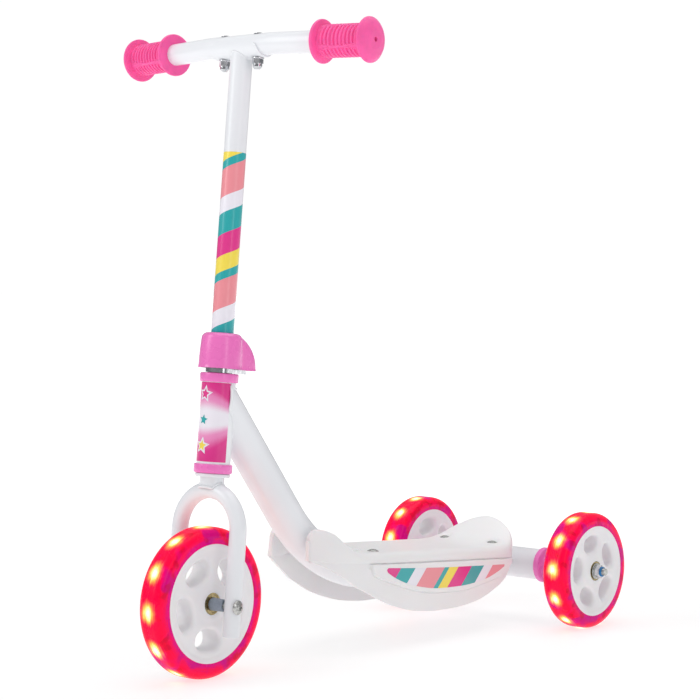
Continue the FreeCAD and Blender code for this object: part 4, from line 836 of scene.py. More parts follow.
def make_front_axle():
    """The axle screw with its domed head, its cap nut and the two tapered spacers."""
    steel = FINISHES["steel"]
    near = 48.4    # from the middle to the outside of a fork leg
    build("front_axle_screw", [bolt_head_grid(FRONT.moved(z=near), 7, 3.6, 2.8),
                               rod_grid(FRONT, 4, -near, near)], steel, "steering",
          ["front_axle_bolt"])
    cap = rounded([(0, 0), (6.4, 0), (6.2, 4.6), (4.4, 7.4), (0, 7.5)], [0, 0.5, 1.5, 2, 0], 5,
                  closed=False)
    nut = turned_grid(outward(FRONT, -1).moved(z=near), cap, 64, closed=False)
    build("front_axle_cap", [nut], steel,
          "steering", ["front_axle_nut"])
    grids = []
    for side in SIDES.values():
        outline = rounded([(BORE, 15), (6.6, 15), (5.9, 31.4), (BORE, 31.4)], [0, 0.6, 0.6, 0], 4)
        grids.append(turned_grid(outward(FRONT, side), outline, 64))
    build("front_axle_spacers", grids, FINISHES["grey_nylon"], "steering",
          ["front_spacers"])


def make_head():
    """The head tube and the two moulded rings over its ends."""
    coat, orchid = FINISHES["white_powder_coat"], FINISHES["orchid_plastic"]
    low, high, inner = 131, 222, HEAD_RADIUS - 1.8
    turned("head_steel_tube", STEER,
           [(inner, low), (HEAD_RADIUS, low), (HEAD_RADIUS, high), (inner, high)], [0, 0.3, 0.3, 0],
           coat, "frame", "white_powder_coat", ["head_tube"])
    ring, bore, seat = 19.15, 13, HEAD_RADIUS + 0.02
    for name, low, high, closed in (("lower", 127.3, 136.3, low), ("upper", 226.2, 217.2, high)):
        outline = [(bore, low), (ring, low), (ring, high), (seat, high), (seat, closed), (bore, closed)]
        turned(f"head_ring_{name}", STEER, outline, [0.3, 1.6, 1.3, 0.3, 0.3, 0.3], orchid, "frame",
               "orchid_plastic", [f"{name}_head_ring"])


def wrap(radius, angle, height, lift=0.0):
    """Points on a cylinder about the steering axis; angle 0 faces forwards, positive to the right."""
    reach = radius + lift
    return np.stack([reach * np.sin(angle), -reach * np.cos(angle), height], -1)


def from_steering(point):
    """Direction away from the steering axis at a point."""
    local = (np.array(point) - STEER.origin) @ STEER.axes.T
    return tuple(np.array([local[0], local[1], 0]) @ STEER.axes)


def make_label():
    """The printed label round the front of the head tube, and its three stars."""
    angle, height = np.meshgrid(np.radians(np.linspace(-88, 88, 61)), np.linspace(138.5, 216.6, 24))
    build("head_label", [grid(STEER(wrap(HEAD_RADIUS, angle, height, FOIL)))],
          FINISHES["label_fade"], "frame", facing=from_steering)
    stars = (("top", 205.0, 9.0, "lilac", "magenta"), ("middle", 179.5, 5.2, None, "teal"),
             ("bottom", 154.0, 9.2, "lilac", "yellow"))
    for name, middle, size, border, ink in stars:
        turn = math.radians(-3)
        if border:
            star(f"label_star_{name}_edge", turn, middle, size, 0.2, border)
        star(f"label_star_{name}", turn, middle, size * (0.62 if border else 1), 0.28, ink)


def star(name, turn, middle, size, lift, ink):
    """A five-pointed star on the label: rings that grow from its middle to a star outline."""
    around = np.linspace(0, 2 * math.pi, 60, endpoint=False)
    point = np.abs(((around / (2 * math.pi) * 5) % 1) * 2 - 1)
    inner, outer = 0.48 * size, size
    corner = math.pi / 5
    bx, by = inner * math.cos(corner), inner * math.sin(corner)
    t = (1 - point) * corner
    reach = outer * by / (by * np.cos(t) + (outer - bx) * np.sin(t))
    rings = np.linspace(0, 1, 4)[:, None]
    across = rings * reach * np.sin(around + 0.12)
    up = rings * reach * np.cos(around + 0.12)
    points = wrap(HEAD_RADIUS, turn + across / HEAD_RADIUS, middle + up, lift)
    build(name, [grid(STEER(points), close_cols=True)], FINISHES[f"ink_{ink}"], "frame",
          facing=from_steering)


def make_stem():
    """The stem tube under the bar's saddle, its weld, and the foil whose bands climb round it."""
    finish = FINISHES["white_powder_coat"]
    path = np.stack([np.zeros(12), np.zeros(12), np.linspace(165, BAR_HEIGHT - 12, 12)], 1)
    saddle = onto_cylinder([0, 0, BAR_HEIGHT], [1, 0, 0], SADDLE_RADIUS, False)
    tube = tube_grid(STEER, path, STEM_RADIUS, STEM_RADIUS - STEM_WALL, stop=saddle)
    build("stem_steel_tube", [tube], finish, "steering", ["stem_tube"])
    turn = np.linspace(0, 2 * math.pi, 72, endpoint=False)
    line = np.stack([STEM_RADIUS * np.cos(turn), STEM_RADIUS * np.sin(turn),
                     BAR_HEIGHT - np.sqrt(SADDLE_RADIUS ** 2 - (STEM_RADIUS * np.sin(turn)) ** 2)], 1)
    bead("stem_weld", STEER, line, 1.1, finish, "steering")
    low, high, climb, first = 258, 445.5, 31.4, 9.0    # first: how much of the first band is cut off
    angle, height = np.meshgrid(np.linspace(-math.pi, math.pi, 97), np.linspace(low, high, 90))
    pitch = sum(width for width, _ in stem_bands())
    rise = climb * angle / (2 * math.pi)
    points, faces, _ = grid(STEER(wrap(STEM_RADIUS, angle, height, FOIL)))
    along = (high + first - height + rise) / pitch
    uv = np.stack([angle / math.pi, along], -1).reshape(-1, 2)[faces.ravel()]
    build("stem_stripes", [(points, faces, uv)], FINISHES["stem_stripes"], "steering",
          facing=from_steering)


COVER_BASE, COVER_HEIGHT, COVER_WALL, COVER_HOLE = 231.0, 35.0, 2.0, 11.35


def cover_radius(angle, share):
    """Radius of the clamp cover at a height share: the larger of a round dome and a rear lobe.

    The lobe is a rounded box 26 mm wide whose reach falls as a quarter ellipse; angle 0 is forward.
    """
    roll = 6.0
    z, edge = share * COVER_HEIGHT, COVER_HEIGHT - roll
    dome = np.where(z < edge, 21.5 - 1.3 * (z / edge) ** 2,
                    14.2 + np.sqrt(np.maximum(roll ** 2 - (z - edge) ** 2, 0)))
    back = angle - math.pi
    reach = 43.5 * np.sqrt(np.maximum(1 - (share * 0.985) ** 2.1, 0))
    half = 13.0 - 1.0 * share
    sides = np.abs(np.sin(back)) / half
    ends = np.maximum(np.cos(back), 0) / np.maximum(reach, 1)
    lobe = (sides ** 5 + ends ** 5) ** (-1 / 5)
    lobe = np.where(np.cos(back) > 0.05, lobe, 0)
    return (dome ** 26 + np.minimum(lobe, 60) ** 26) ** (1 / 26)


def make_cover():
    """The hollow cover: outside wall up to the stem hole and the inside wall back down."""
    angle = np.linspace(0, 2 * math.pi, 240, endpoint=False)
    share = np.sin(np.linspace(0, math.pi / 2, 44))
    outer, inner = [], []
    for s in share:
        radius = cover_radius(angle, np.full_like(angle, s))
        flare = 0.5 * (1 - smooth(s, 0.0, 0.06))
        outer.append((radius + flare, s * COVER_HEIGHT))
        inner.append((radius - COVER_WALL, s * (COVER_HEIGHT - COVER_WALL)))
    hole = np.full_like(angle, COVER_HOLE)
    rim = [(outer[-1][0] * 0.5 + hole * 0.5, COVER_HEIGHT + 0.15), (hole, COVER_HEIGHT),
           (hole, COVER_HEIGHT - COVER_WALL)]
    points = []
    for radius, z in outer + rim + inner[::-1]:
        radius = np.maximum(radius, COVER_HOLE)
        points.append(np.stack([radius * np.sin(angle), -radius * np.cos(angle),
                                np.full_like(angle, COVER_BASE + z)], 1))
    build("clamp_cover_shell", [grid(STEER(np.array(points)), True, True)], FINISHES["orchid_plastic"],
          "steering", ["clamp_cover"], sharp=60)


# ---------------------------------------------------------------- handlebar and grips
def bar_path():
    """The bar's middle line in its own plane: straight middle, two soft bends, swept arms."""
    arm, sweep = 110.0, math.radians(BAR_SWEEP)
    turn = np.linspace(0, sweep, 9)
    x = BAR_STRAIGHT + BAR_BEND * np.sin(turn)
    y = BAR_BEND * (1 - np.cos(turn))
    reach = np.linspace(0, arm, 9)[1:]
    x = np.concatenate([x, x[-1] + reach * math.cos(sweep)])
    y = np.concatenate([y, y[-1] + reach * math.sin(sweep)])
    half = np.stack([x, y, x * 0], 1)
    return np.concatenate([half[::-1] * [-1, 1, 1], [[0, 0, 0]], half])


def arm_place(side):
    """Z outwards along an arm, measured as if the arm's line started at the bar's middle."""
    base = BAR_STRAIGHT + BAR_BEND * math.tan(math.radians(BAR_SWEEP / 2))
    turn = BAR.turned(2, side * BAR_SWEEP)
    along = turn.axes[0] * side
    origin = BAR([base * side, 0, 0]) - along * base * MM
    return Place(origin, BAR.axes[2] * side, np.cross(along, BAR.axes[2] * side), along)


def make_bar():
    """The bent bar, the half-pipe saddle that tapers up its sides, two screws and their cap nuts."""
    finish = FINISHES["white_powder_coat"]
    build("handlebar_tube", [tube_grid(BAR, bar_path(), BAR_RADIUS, BAR_RADIUS - BAR_WALL)], finish,
          "steering", ["handlebar"])
    place = Place(BAR.origin, *STEER.axes)
    angle = np.linspace(math.pi, 2 * math.pi, 33)
    arc = np.stack([angle * 0, np.cos(angle), np.sin(angle)], 1)
    section = np.concatenate([arc * SADDLE_RADIUS, arc[::-1] * (BAR_RADIUS + 0.05)])
    depth = np.clip(-section[:, 2] / SADDLE_RADIUS, 0, 1)
    reach = 26.0 + 6.5 * np.sqrt(depth)
    share = np.concatenate([[-1, -0.985], np.linspace(-0.95, 0.95, 24), [0.985, 1]])
    shell = np.array([section + np.stack([reach * s, 0 * reach, 0 * reach], 1) for s in share])
    caps = [grid(place(np.array([end[:33], end[:32:-1]]))) for end in (shell[0], shell[-1])]
    build("bar_cradle_saddle", [grid(place(shell), close_cols=True)] + caps, finish, "steering",
          ["bar_cradle"])
    heads, nuts = [], []
    for side in SIDES.values():
        spot = place.moved(x=SCREW_SPREAD * side)
        heads.append(bolt_head_grid(spot.moved(z=10.5), 5.5, 1.5, 2.0))
        heads.append(rod_grid(spot, 3, -18, 11))
        nut = Place(spot.origin, spot.axes[0], -spot.axes[1], -spot.axes[2])
        low, high = SADDLE_RADIUS, SADDLE_RADIUS + 1.3
        washer = rounded([(3, low), (6.2, low), (6.2, high), (3, high)], [0, 0.4, 0.4, 0], 4)
        nuts.append(turned_grid(nut, washer, 48))
        nuts.append(nut_grid(nut, 10.0, 3.0, high, 19.6))
        crown = rounded([(0, 19.5), (4.7, 19.5), (4.5, 22.6), (2.6, 24.7), (0, 25.0)],
                        [0, 0, 1.2, 1.2, 0],
                        5, closed=False)
        nuts.append(turned_grid(nut, crown, 48, closed=False))
    build("bar_screws", heads, FINISHES["chrome_steel"], "steering", ["bar_bolts"])
    build("bar_dome_nuts", nuts, FINISHES["chrome_steel"], "steering", ["bar_cap_nuts"])


def grip_relief(radius, turn, height, start, stop):
    """Raised frames and cross ribs: four panels round the barrel, bowed wider at mid length."""
    pitch, rib = sizes().rib_pitch / MM, sizes().rib_height / MM
    along = (height - start) / (stop - start)
    inside = (along > 0) & (along < 1)
    bow = np.radians(33) + np.radians(9) * np.sin(np.clip(along, 0, 1) * math.pi)
    quarter = (turn + math.pi / 4) % (math.pi / 2) - math.pi / 4
    margin = bow - np.abs(quarter)
    margin = np.degrees(margin)
    frame_line = smooth(margin, -4.5, -2.5) * (1 - smooth(margin, -0.5, 1.5))
    ends = smooth(along, 0.02, 0.05) * (1 - smooth(along, 0.95, 0.98))
    ribs = smooth(np.cos((height - start) / pitch * 2 * math.pi), -0.3, 0.5)
    panel = smooth(margin, 1.5, 3.5) * ends
    lift = rib * (0.55 * frame_line * ends + panel * (ribs - 0.55))
    return radius + np.where(inside, lift, 0)


def make_grip(name, side):
    """One grip turned about its arm: a flange, the ribbed barrel and the bulb with its small hole."""
    start, stop = 104.8, 155.0
    barrel = np.linspace(start, stop, 150)
    lower = rounded([(11.0, 100), (21.5, 100), (21.5, 103.6), (BARREL, 104.6)], [0, 1.5, 1.4, 0], 6,
                    closed=False)
    bulb = rounded([(BARREL, stop + 0.2), (22.2, stop + 1.2), (22.0, 158.8), (17.5, 163.0),
                    (9, 164.5), (2.3, 164.6),
                    (2.1, 158.0), (11.0, 157.9)], [1.0, 1.2, 3, 8, 6, 0.4, 0, 0], 6, closed=False)
    outline = np.concatenate([lower, np.stack([np.full_like(barrel, BARREL), barrel], 1), bulb])

    def relief(radius, turn, height):
        shaped = grip_relief(radius, turn, height, start + 1.5, stop - 1.5)
        return np.where(np.abs(radius - BARREL) < 1e-6, shaped, radius)
    build(f"grip_rubber_{name}", [turned_grid(arm_place(side), outline, 180, wobble=relief)],
          FINISHES["grip_rubber"], "steering", [f"grip_{name}"], sharp=55)


# ---------------------------------------------------------------- frame
def main_path():
    """The main tube's middle line from the head tube, down, round one bend and back to the axle."""
    drop, slope, bend = math.radians(51.93), math.radians(DECK_SLOPE), 190.0
    start = np.array([21.7, 277.0])
    corner = start + 159.4 * np.array([math.cos(drop), -math.sin(drop)])
    centre = corner + bend * np.array([math.sin(drop), math.cos(drop)])
    turn = np.linspace(drop, slope, 29)
    arc = centre - bend * np.stack([np.sin(turn), np.cos(turn)], 1)
    away = np.array([math.cos(slope), -math.sin(slope)])
    first = start + np.linspace(0.08, 0.96, 7)[:, None] * (corner - start)
    last = arc[-1] + np.linspace(0.05, 1, 9)[:, None] * 239.4 * away
    line = np.concatenate([first, arc, last])
    y = FRONT.origin[1] / MM
    return np.stack([line[:, 0] * 0, line[:, 0] + y, line[:, 1]], 1)


def make_frame():
    """The main tube, coped to the head and cross tubes, its weld, the cross tube and the axle caps."""
    finish = FINISHES["white_powder_coat"]
    path = main_path()
    head = onto_cylinder(STEER.origin / MM, STEER.axes[2], HEAD_RADIUS, True)
    cross = onto_cylinder(REAR.origin / MM, [1, 0, 0], CROSS_RADIUS, False)
    main = tube_grid(WORLD, path, MAIN_RADIUS, MAIN_RADIUS - 1.6, 96, start=head, stop=cross)
    build("main_bent_tube", [main], finish, "frame", ["main_tube"])
    turn = np.linspace(0, 2 * math.pi, 96, endpoint=False)
    along = path[1] - path[0]
    along /= np.linalg.norm(along)
    up = np.cross([1, 0, 0], along)
    across = np.array([1, 0, 0])
    ring = path[0] + MAIN_RADIUS * (np.cos(turn)[:, None] * across + np.sin(turn)[:, None] * up)
    bead("head_weld", WORLD, head(ring, along), 1.5, finish, "frame")
    end, inner = 60, CROSS_RADIUS - 2
    turned("rear_cross_tube", REAR,
           [(inner, -end), (CROSS_RADIUS, -end), (CROSS_RADIUS, end), (inner, end)],
           [0.3, 0.5, 0.5, 0.3], finish, "frame", "white_powder_coat", ["rear_axle_tube"])
    for name, side in SIDES.items():
        outline = [(BORE, 48), (inner, 48), (inner, end), (20, end), (20, 67), (12.3, 67.2),
                   (12, 96.4), (7, 102.4), (BORE, 102.4)]
        turned(f"axle_cap_moulding_{name}", outward(REAR, side), outline,
               [0, 0.5, 0.3, 1.6, 1.6, 1.0, 2, 0.8, 0], FINISHES["orchid_plastic"], "frame",
               "orchid_plastic", [f"axle_cap_{name}"])


def make_rear_hardware():
    """The threaded rear axle with its washers, hexagon nuts and their nylon locking rings."""
    steel = FINISHES["steel"]
    _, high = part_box("rear_washers")
    thickness = 1.2
    start = high[0] / MM - thickness
    washers, nuts, inserts = [], [], []
    for side in SIDES.values():
        place = outward(REAR, side)
        washer = rounded([(BORE, start), (9, start), (9, start + thickness), (BORE, start + thickness)],
                         [0, 0.4, 0.4, 0], 4)
        washers.append(turned_grid(place, washer, 64))
        nuts.append(nut_grid(place, 13, BORE, start + thickness, start + 7.7))
        low, high = start + 7.6, start + 9.6
        crown = rounded([(4.02, low), (5.7, low), (5.2, high), (4.02, high)],
                        [0, 0.2, 0.8, 0.2], 4)
        inserts.append(turned_grid(place, crown, 64))
    build("rear_plain_washers", washers, steel, "frame", ["rear_washers"])
    build("rear_hex_nuts", nuts, FINISHES["chrome_steel"], "frame", ["rear_lock_nuts"])
    build("rear_nylon_rings", inserts, FINISHES["blue_nylon"], "frame",
          ["rear_nut_inserts"])
    build("rear_threaded_rod", [rod_grid(REAR, 4.0, -147, 147, 1.25)], steel, "frame",
          ["rear_axle_rod"])


# ---------------------------------------------------------------- deck
HALF, DEPTH, WALL, FRONT_Y, TAIL_Y = 57.0, 13.0, 3.5, -98.0, 246.0
NOTCH, NOTCH_END = 22.0, 8.0
BOLT_ENDS, REAR_SEAT = (-2.0, 210.0), 2.0


def deck_half(y):
    """Half width of the deck at a station: narrow front, straight sides and a bowed tail."""
    front = spline(y, [FRONT_Y, -74, -34, 0, 40], [29.2, 42.6, 52, 56.6, HALF])
    bow = np.clip((y - 200) / (TAIL_Y - 200), 0, 1)
    return front * (1 - bow ** 2.6) ** (1 / 2.2)


def inner_half(y):
    """Inner edge of each half: the notch round the main tube, then only a wall along the ears."""
    back = np.clip(y - (NOTCH_END - NOTCH), 0, NOTCH)
    notch = np.where(y < NOTCH_END, np.sqrt(np.maximum(NOTCH ** 2 - back ** 2, 0)), 0)
    wall = spline(y, [FRONT_Y, -95, -90, -62, -44, -28], [4.8, 4.8, 5.2, 6, 14, 31])
    return np.where(y < -28, np.maximum(notch, deck_half(y) - wall), notch)


def rim_low(y):
    """Lower edge of the deck's rim: it deepens from the ears to the tail."""
    return spline(y, [FRONT_Y, -74, -50, -29, 15, 81, 167, TAIL_Y],
                  [-7.6, -8.8, -9.4, -10, -10.6, -11.3, -12.1, -DEPTH])


def ear_rise(y):
    """Height of the front ears above the deck."""
    return 25.0 * spline(y, [FRONT_Y, -95, -87, -74, -58, -42, -26],
                         [0.52, 0.8, 1.0, 0.86, 0.38, 0.09, 0])


def tail_rise(x, y):
    """Height of the tail: it sweeps up towards the rear and arches across."""
    arch = np.maximum(1 - (np.abs(x) / 61.0) ** 2.2, 0)
    sweep = spline(y, [184, 200, 218, 234, TAIL_Y], [0, 0.06, 0.3, 0.72, 1.0])
    return 29.0 * sweep * (0.16 + 0.84 * arch)


def bolt_flat(x, y, top):
    """Level seats for the two rear screws in the rising tail."""
    away = np.hypot(np.abs(x) - 34.0, y - BOLT_ENDS[1])
    flat = 1 - smooth(away, 6.3, 8.0)
    return top * (1 - flat) + REAR_SEAT * flat


def deck_section(y, count=40):
    """Half a section at one station, from the notch over the top, down the side and back below."""
    out, inner = float(deck_half(y)), float(inner_half(y))
    round_over = min(8.0, max(out - inner, 0.5) * 0.42)
    across = inner + (out - round_over - inner) * np.linspace(0, 1, count)
    rim = 9.0
    ear = ear_rise(y) * smooth(across, out - rim - 7.0, out - rim + 1.5)
    if y < -28 or out - inner < rim + 9:
        narrow = 1 - smooth(out - inner, rim, rim + 9)
        ear = ear * (1 - narrow) + float(ear_rise(y)) * narrow
    top = bolt_flat(across, y, ear + tail_rise(across, y))
    end = top[-1]
    turn = np.linspace(0, math.pi / 2, 7)[1:]
    side_x = out - round_over + round_over * np.sin(turn)
    side_z = end - round_over * (1 - np.cos(turn))
    lip = float(rim_low(y))
    lower = [(out, lip + 0.8), (out - 0.25, lip + 0.25), (out - 0.8, lip), (out - WALL, lip)]
    solid = 1 - float(smooth(y, -62, -34))
    under = top[::-1] - WALL
    under = under * (1 - solid) + lip * solid
    under_x = np.minimum(across[::-1], out - WALL)
    loop_x = np.concatenate([across, side_x, [p[0] for p in lower], under_x])
    loop_z = np.concatenate([top, side_z, [p[1] for p in lower], under])
    loop_z = np.maximum(loop_z, lip)
    lean = 4.0 * float(1 - smooth(y, -70, -30)) * (np.clip(loop_z, 0, 26) / 26) ** 1.5
    loop_x = np.maximum(loop_x, inner) - lean
    return np.stack([loop_x, np.full_like(loop_x, y), loop_z], 1)


def deck_stations():
    """Stations along the deck, closer together at the ears, the notch's end and the tail."""
    notch = NOTCH_END - NOTCH + NOTCH * np.sin(np.linspace(0, math.pi / 2, 14))
    tail = 200 + (TAIL_Y - 200) * np.sin(np.linspace(0, math.pi / 2, 34))
    spans = [np.linspace(FRONT_Y, -26, 60)[:-1], np.linspace(-26, NOTCH_END - NOTCH, 5)[:-1], notch,
             np.linspace(NOTCH_END, 200, 26)[1:-1], tail[:-1], [TAIL_Y - 0.02]]
    return np.concatenate(spans)


def make_deck():
    """The deck's top moulding: two mirrored halves that meet on the middle line behind the notch."""
    stations = deck_stations()
    sections = [deck_section(y) for y in stations]
    points = np.array(sections)
    front = []
    for back, inset in ((0.0, 1.6), (0.5, 0.6)):
        ring = points[0].copy()
        middle = ring.mean(0)
        ring[:, 0] = middle[0] + (ring[:, 0] - middle[0]) * (1 - inset / 9.0)
        ring[:, 2] = middle[2] + (ring[:, 2] - middle[2]) * (1 - inset / 30.0)
        ring[:, 1] = FRONT_Y + back
        front.append(ring)
    points[0][:, 1] = FRONT_Y + 1.6
    nose = np.repeat(front[0].mean(0)[None], points.shape[1], 0)
    points = np.concatenate([[nose], front, points])
    grids = []
    for side in SIDES.values():
        half = points * [side, 1, 1]
        centred = np.abs(half[:, :, 0]) < 1e-4

        def off_middle(r, c):
            following = (c + 1) % half.shape[1]
            near = centred[r, c] & centred[r, following]
            return ~(near & centred[r + 1, c] & centred[r + 1, following])
        grids.append(grid(DECK(half), close_cols=True, keep=off_middle))
    build("deck_moulding", grids, FINISHES["white_plastic"], "frame", ["deck_top"],
          sharp=48)


def skirt_low(y):
    """Lower edge of a skirt at a station."""
    return -spline(y, [-96, -74, -57, -43, -30, -4, 16, 49, 84, 120, 157, 194, 213, 223],
                   [8.2, 17.2, 26.5, 34.8, 40.3, 51.2, 57.2, 63.8, 66, 64.6, 59.6, 45.7, 32.4, 15])


def crescent_low(y):
    """Lower edge of the raised crescent."""
    return -spline(y, [-26, -22, -8, 6, 20, 45, 83, 127, 168, 200, 219],
                   [15, 22.5, 27.8, 31.8, 35.3, 41.2, 45.5, 45.5, 39.3, 31.2, 19.5])


def crescent_top(y):
    """Upper edge of the raised crescent, a narrow gap below the deck's rim."""
    return rim_low(y) - 1.3


def foil_top(y):
    """Upper edge of the printed foil."""
    return spline(y, [-8, 40, 92, 150, 204], [-15.3, -17.2, -18.6, -19.3, -19.8])


def foil_depth(y):
    """Height of the printed foil: a blunt front end, deepest at mid length, thin at the rear."""
    return spline(y, [-6, 8.6, 27, 45.5, 82.6, 124, 155, 170, 191, 201.5],
                  [4.5, 10.7, 16, 19.5, 22.4, 21.1, 17.6, 14.5, 7.1, 2])


def crescent_lift(y, z):
    """How far the crescent stands out: a flat pad with soft steps along its outline."""
    ends = np.minimum(y + 26, 220 - y) * 0.6
    inside = np.minimum(np.minimum(crescent_top(y) - z, z - crescent_low(y)), ends)
    groove = 0.9 * smooth(inside, -2.0, -0.8) * (1 - smooth(inside, -0.7, 0.0))
    return 3.0 * smooth(inside, -0.3, 0.7) - groove


def skirt_surface(y, z, side, lift=0.0):
    """A point on the outside of a skirt: under the deck's rim, drawn in a little towards its foot."""
    share = np.clip((-DEPTH - z) / 53.0, 0, 1)
    bulge = -3.4 * share ** 2
    half = deck_half(np.minimum(y, 200)) - 2.2 * smooth(y, 200, 224) ** 2 - 1.4
    out = half + bulge + crescent_lift(y, z) + lift
    return np.stack([out * side, y, z], -1)


def make_skirts():
    """Each skirt as one shell: rows down the outside, round its foot and up the inside."""
    for name, side in SIDES.items():
        y = np.linspace(-95.5, 222.5, 270)
        low = skirt_low(y)
        top = rim_low(y) + 0.2
        ridge, crest = crescent_low(y), crescent_top(y)
        levels = [top, crest + 0.3, crest - 1.3, ridge + 1.1, ridge - 2.2, low]
        z = [top]
        for first, last, count in zip(levels, levels[1:], (6, 9, 22, 16, 24)):
            z += [first + (last - first) * i / count for i in range(1, count + 1)]
        z = np.maximum(np.array(z), low)
        across = np.repeat(y[None], len(z), 0)
        outside = skirt_surface(across, z, side)
        wall = np.array([-3.2 * side, 0, 0])
        lower_edge = outside[-1:] + wall * 0.5 + np.array([0, 0, -0.35])
        relief = np.stack([crescent_lift(across, z) * side, across * 0, across * 0], -1)
        inside = (outside - relief + wall)[::-1]
        points = np.concatenate([outside, lower_edge, inside])
        rows = len(points)
        shell = grid(DECK(points), close_rows=True)
        ends = []
        half_rows = rows // 2
        for column in (0, -1):
            first, second = points[:half_rows, column], points[rows - half_rows:, column][::-1]
            ends.append(grid(DECK(np.array([first, second]))))
        build(f"side_skirt_moulding_{name}", [shell] + ends, FINISHES["white_plastic"], "frame",
              [f"side_skirt_{name}"], sharp=60)
        make_side_stripes(name, side)


def make_side_stripes(name, side):
    """The printed foil on the crescent; V follows bands that slant forwards towards the bottom."""
    front, rear = -6.1, 201.5
    y = front + (rear - front) * (1 - np.cos(np.linspace(0, math.pi, 150))) / 2
    top, depth = foil_top(y), foil_depth(y)
    blunt = 1 - np.sqrt(1 - (1 - np.clip((y - front) / 3.0, 0, 1)) ** 2)
    share = np.linspace(0, 1, 26)[:, None]
    z = top - depth * (share + (0.5 - share) * blunt)
    across = np.repeat(y[None], 26, 0)
    points, faces, _ = grid(DECK(skirt_surface(across, z, side, FOIL)))
    total = sum(width for width, _ in side_bands())
    along = (across - front + (top - z) * 0.8) / total
    uv = np.stack([share * np.ones_like(across), along], -1).reshape(-1, 2)[faces.ravel()]
    build(f"side_stripes_{name}", [(points, faces, uv)], FINISHES["side_stripes"], "frame",
          facing=lambda point: (side, 0, 0))


def make_deck_bolts():
    """Four screws with low domed heads on flat washers."""
    grids = []
    for end, lift in zip(BOLT_ENDS, (0.0, REAR_SEAT)):
        for side in SIDES.values():
            spot = DECK.moved(x=34 * side, y=end)
            washer = rounded([(0, 0), (6.2, 0), (6.2, 0.5), (0, 0.5)], [0, 0, 0.2, 0], 3,
                             closed=False)
            grids.append(turned_grid(spot.moved(z=lift), washer, 48, closed=False))
            grids.append(bolt_head_grid(spot.moved(z=lift + 0.4), 5.4, 2.0, 2.1))
            grids.append(rod_grid(spot, 3, -14, 0.2 + lift))
    build("deck_screws", grids, FINISHES["steel"], "frame", ["deck_bolts"])


def finish_cad_nodes():
    """Give every node that still shows the material of its own slot."""
    slots = {row["node"]: row["material_slot"] for row in frame["record"]["subparts"]}
    for name, item in frame["nodes"].items():
        item.data.materials.clear()
        item.data.materials.append(FINISHES[slots[name]])


# ---------------------------------------------------------------- stage
def softbox(name, place, target, width, height, power):
    """A rectangular studio light at a place, aimed at a target; sizes in metres, power in watts."""
    light = bpy.data.lights.new(name, "AREA")
    light.shape = "RECTANGLE"
    light.size, light.size_y, light.energy = width, height, power
    item = bpy.data.objects.new(name, light)
    bpy.context.scene.collection.objects.link(item)
    item.location = place
    item.rotation_euler = (Vector(target) - Vector(place)).to_track_quat("-Z", "Y").to_euler()


def make_stage():
    """The pale floor with its painted glow, the soft lights, the dim surroundings and the camera."""
    scene = bpy.context.scene
    finish, tree, surface = new_finish("pale studio floor", IOR=1.4, Roughness=0.55)
    paint = mottled(linear("#A6A6A6"), linear("#A2A2A2"), 400)
    tree.links.new(paint(tree), surface.inputs["Base Color"])
    away = add(tree, "ShaderNodeVectorMath", [add(tree, COORDS, out="Object")], "Value",
               operation="LENGTH")
    # Painted light: the floor glows white, weaker within about half a metre of the scooter and at full
    # strength from 1.5 m out, so it fades into the white backdrop.
    lit = add(tree, RANGE, {"Value": away, "From Min": 0.45, "From Max": 1.5, "To Min": 0.66,
                            "To Max": 1.0}, "Result", interpolation_type="SMOOTHSTEP")
    surface.inputs["Emission Color"].default_value = (1, 1, 1, 1)
    tree.links.new(lit, surface.inputs["Emission Strength"])
    angle = np.linspace(0, 2 * math.pi, 64, endpoint=False)
    rings = np.array([0, 0.5, 2, 8, 30])[:, None]
    points = np.stack([rings * np.cos(angle), rings * np.sin(angle), np.full((5, 64), -0.0002)], -1)
    vertices, faces, _ = grid(points, close_cols=True)
    mesh = bpy.data.meshes.new("floor")
    mesh.from_pydata(vertices.tolist(), [], faces.tolist())
    mesh.materials.append(finish)
    floor = bpy.data.objects.new("floor", mesh)
    scene.collection.objects.link(floor)

    world = bpy.data.worlds.new("studio")
    scene.world = world
    world.use_nodes = True
    tree = world.node_tree
    tree.nodes.clear()
    height = add(tree, PARTS, [add(tree, COORDS, out="Generated")], "Z")
    level = add(tree, MATH, [height, 0.5, 0.5], 0, operation="MULTIPLY_ADD")
    studio = add(tree, RAMP, [level], "Color", [
        (0.0, (0.6, 0.6, 0.6, 1)), (0.44, (0.36, 0.36, 0.36, 1)), (0.52, (0.16, 0.16, 0.17, 1)),
        (0.6, (0.4, 0.4, 0.41, 1)), (0.8, (0.5, 0.5, 0.5, 1)), (1.0, (0.55, 0.55, 0.55, 1))])
    seen = add(tree, "ShaderNodeLightPath", out="Is Camera Ray")
    mixed = add(tree, MIX, {0: seen, A_COLOUR: studio, B_COLOUR: (1.02, 1.02, 1.02, 1)}, MIXED,
                data_type="RGBA")
    back = add(tree, "ShaderNodeBackground", {"Color": mixed, "Strength": 1.0}, "Background")
    add(tree, "ShaderNodeOutputWorld", {"Surface": back})

    softbox("key", (-1.6, -2.6, 2.0), (0, 0, 0.3), 1.2, 2.2, 27)
    softbox("fill", (3.0, -1.0, 1.4), (0, 0, 0.3), 0.8, 2.2, 10)
    softbox("top", (0.2, 0.3, 2.6), (0, 0, 0.1), 2.2, 2.2, 26)
    scene.view_settings.view_transform = "Standard"
    make_camera()


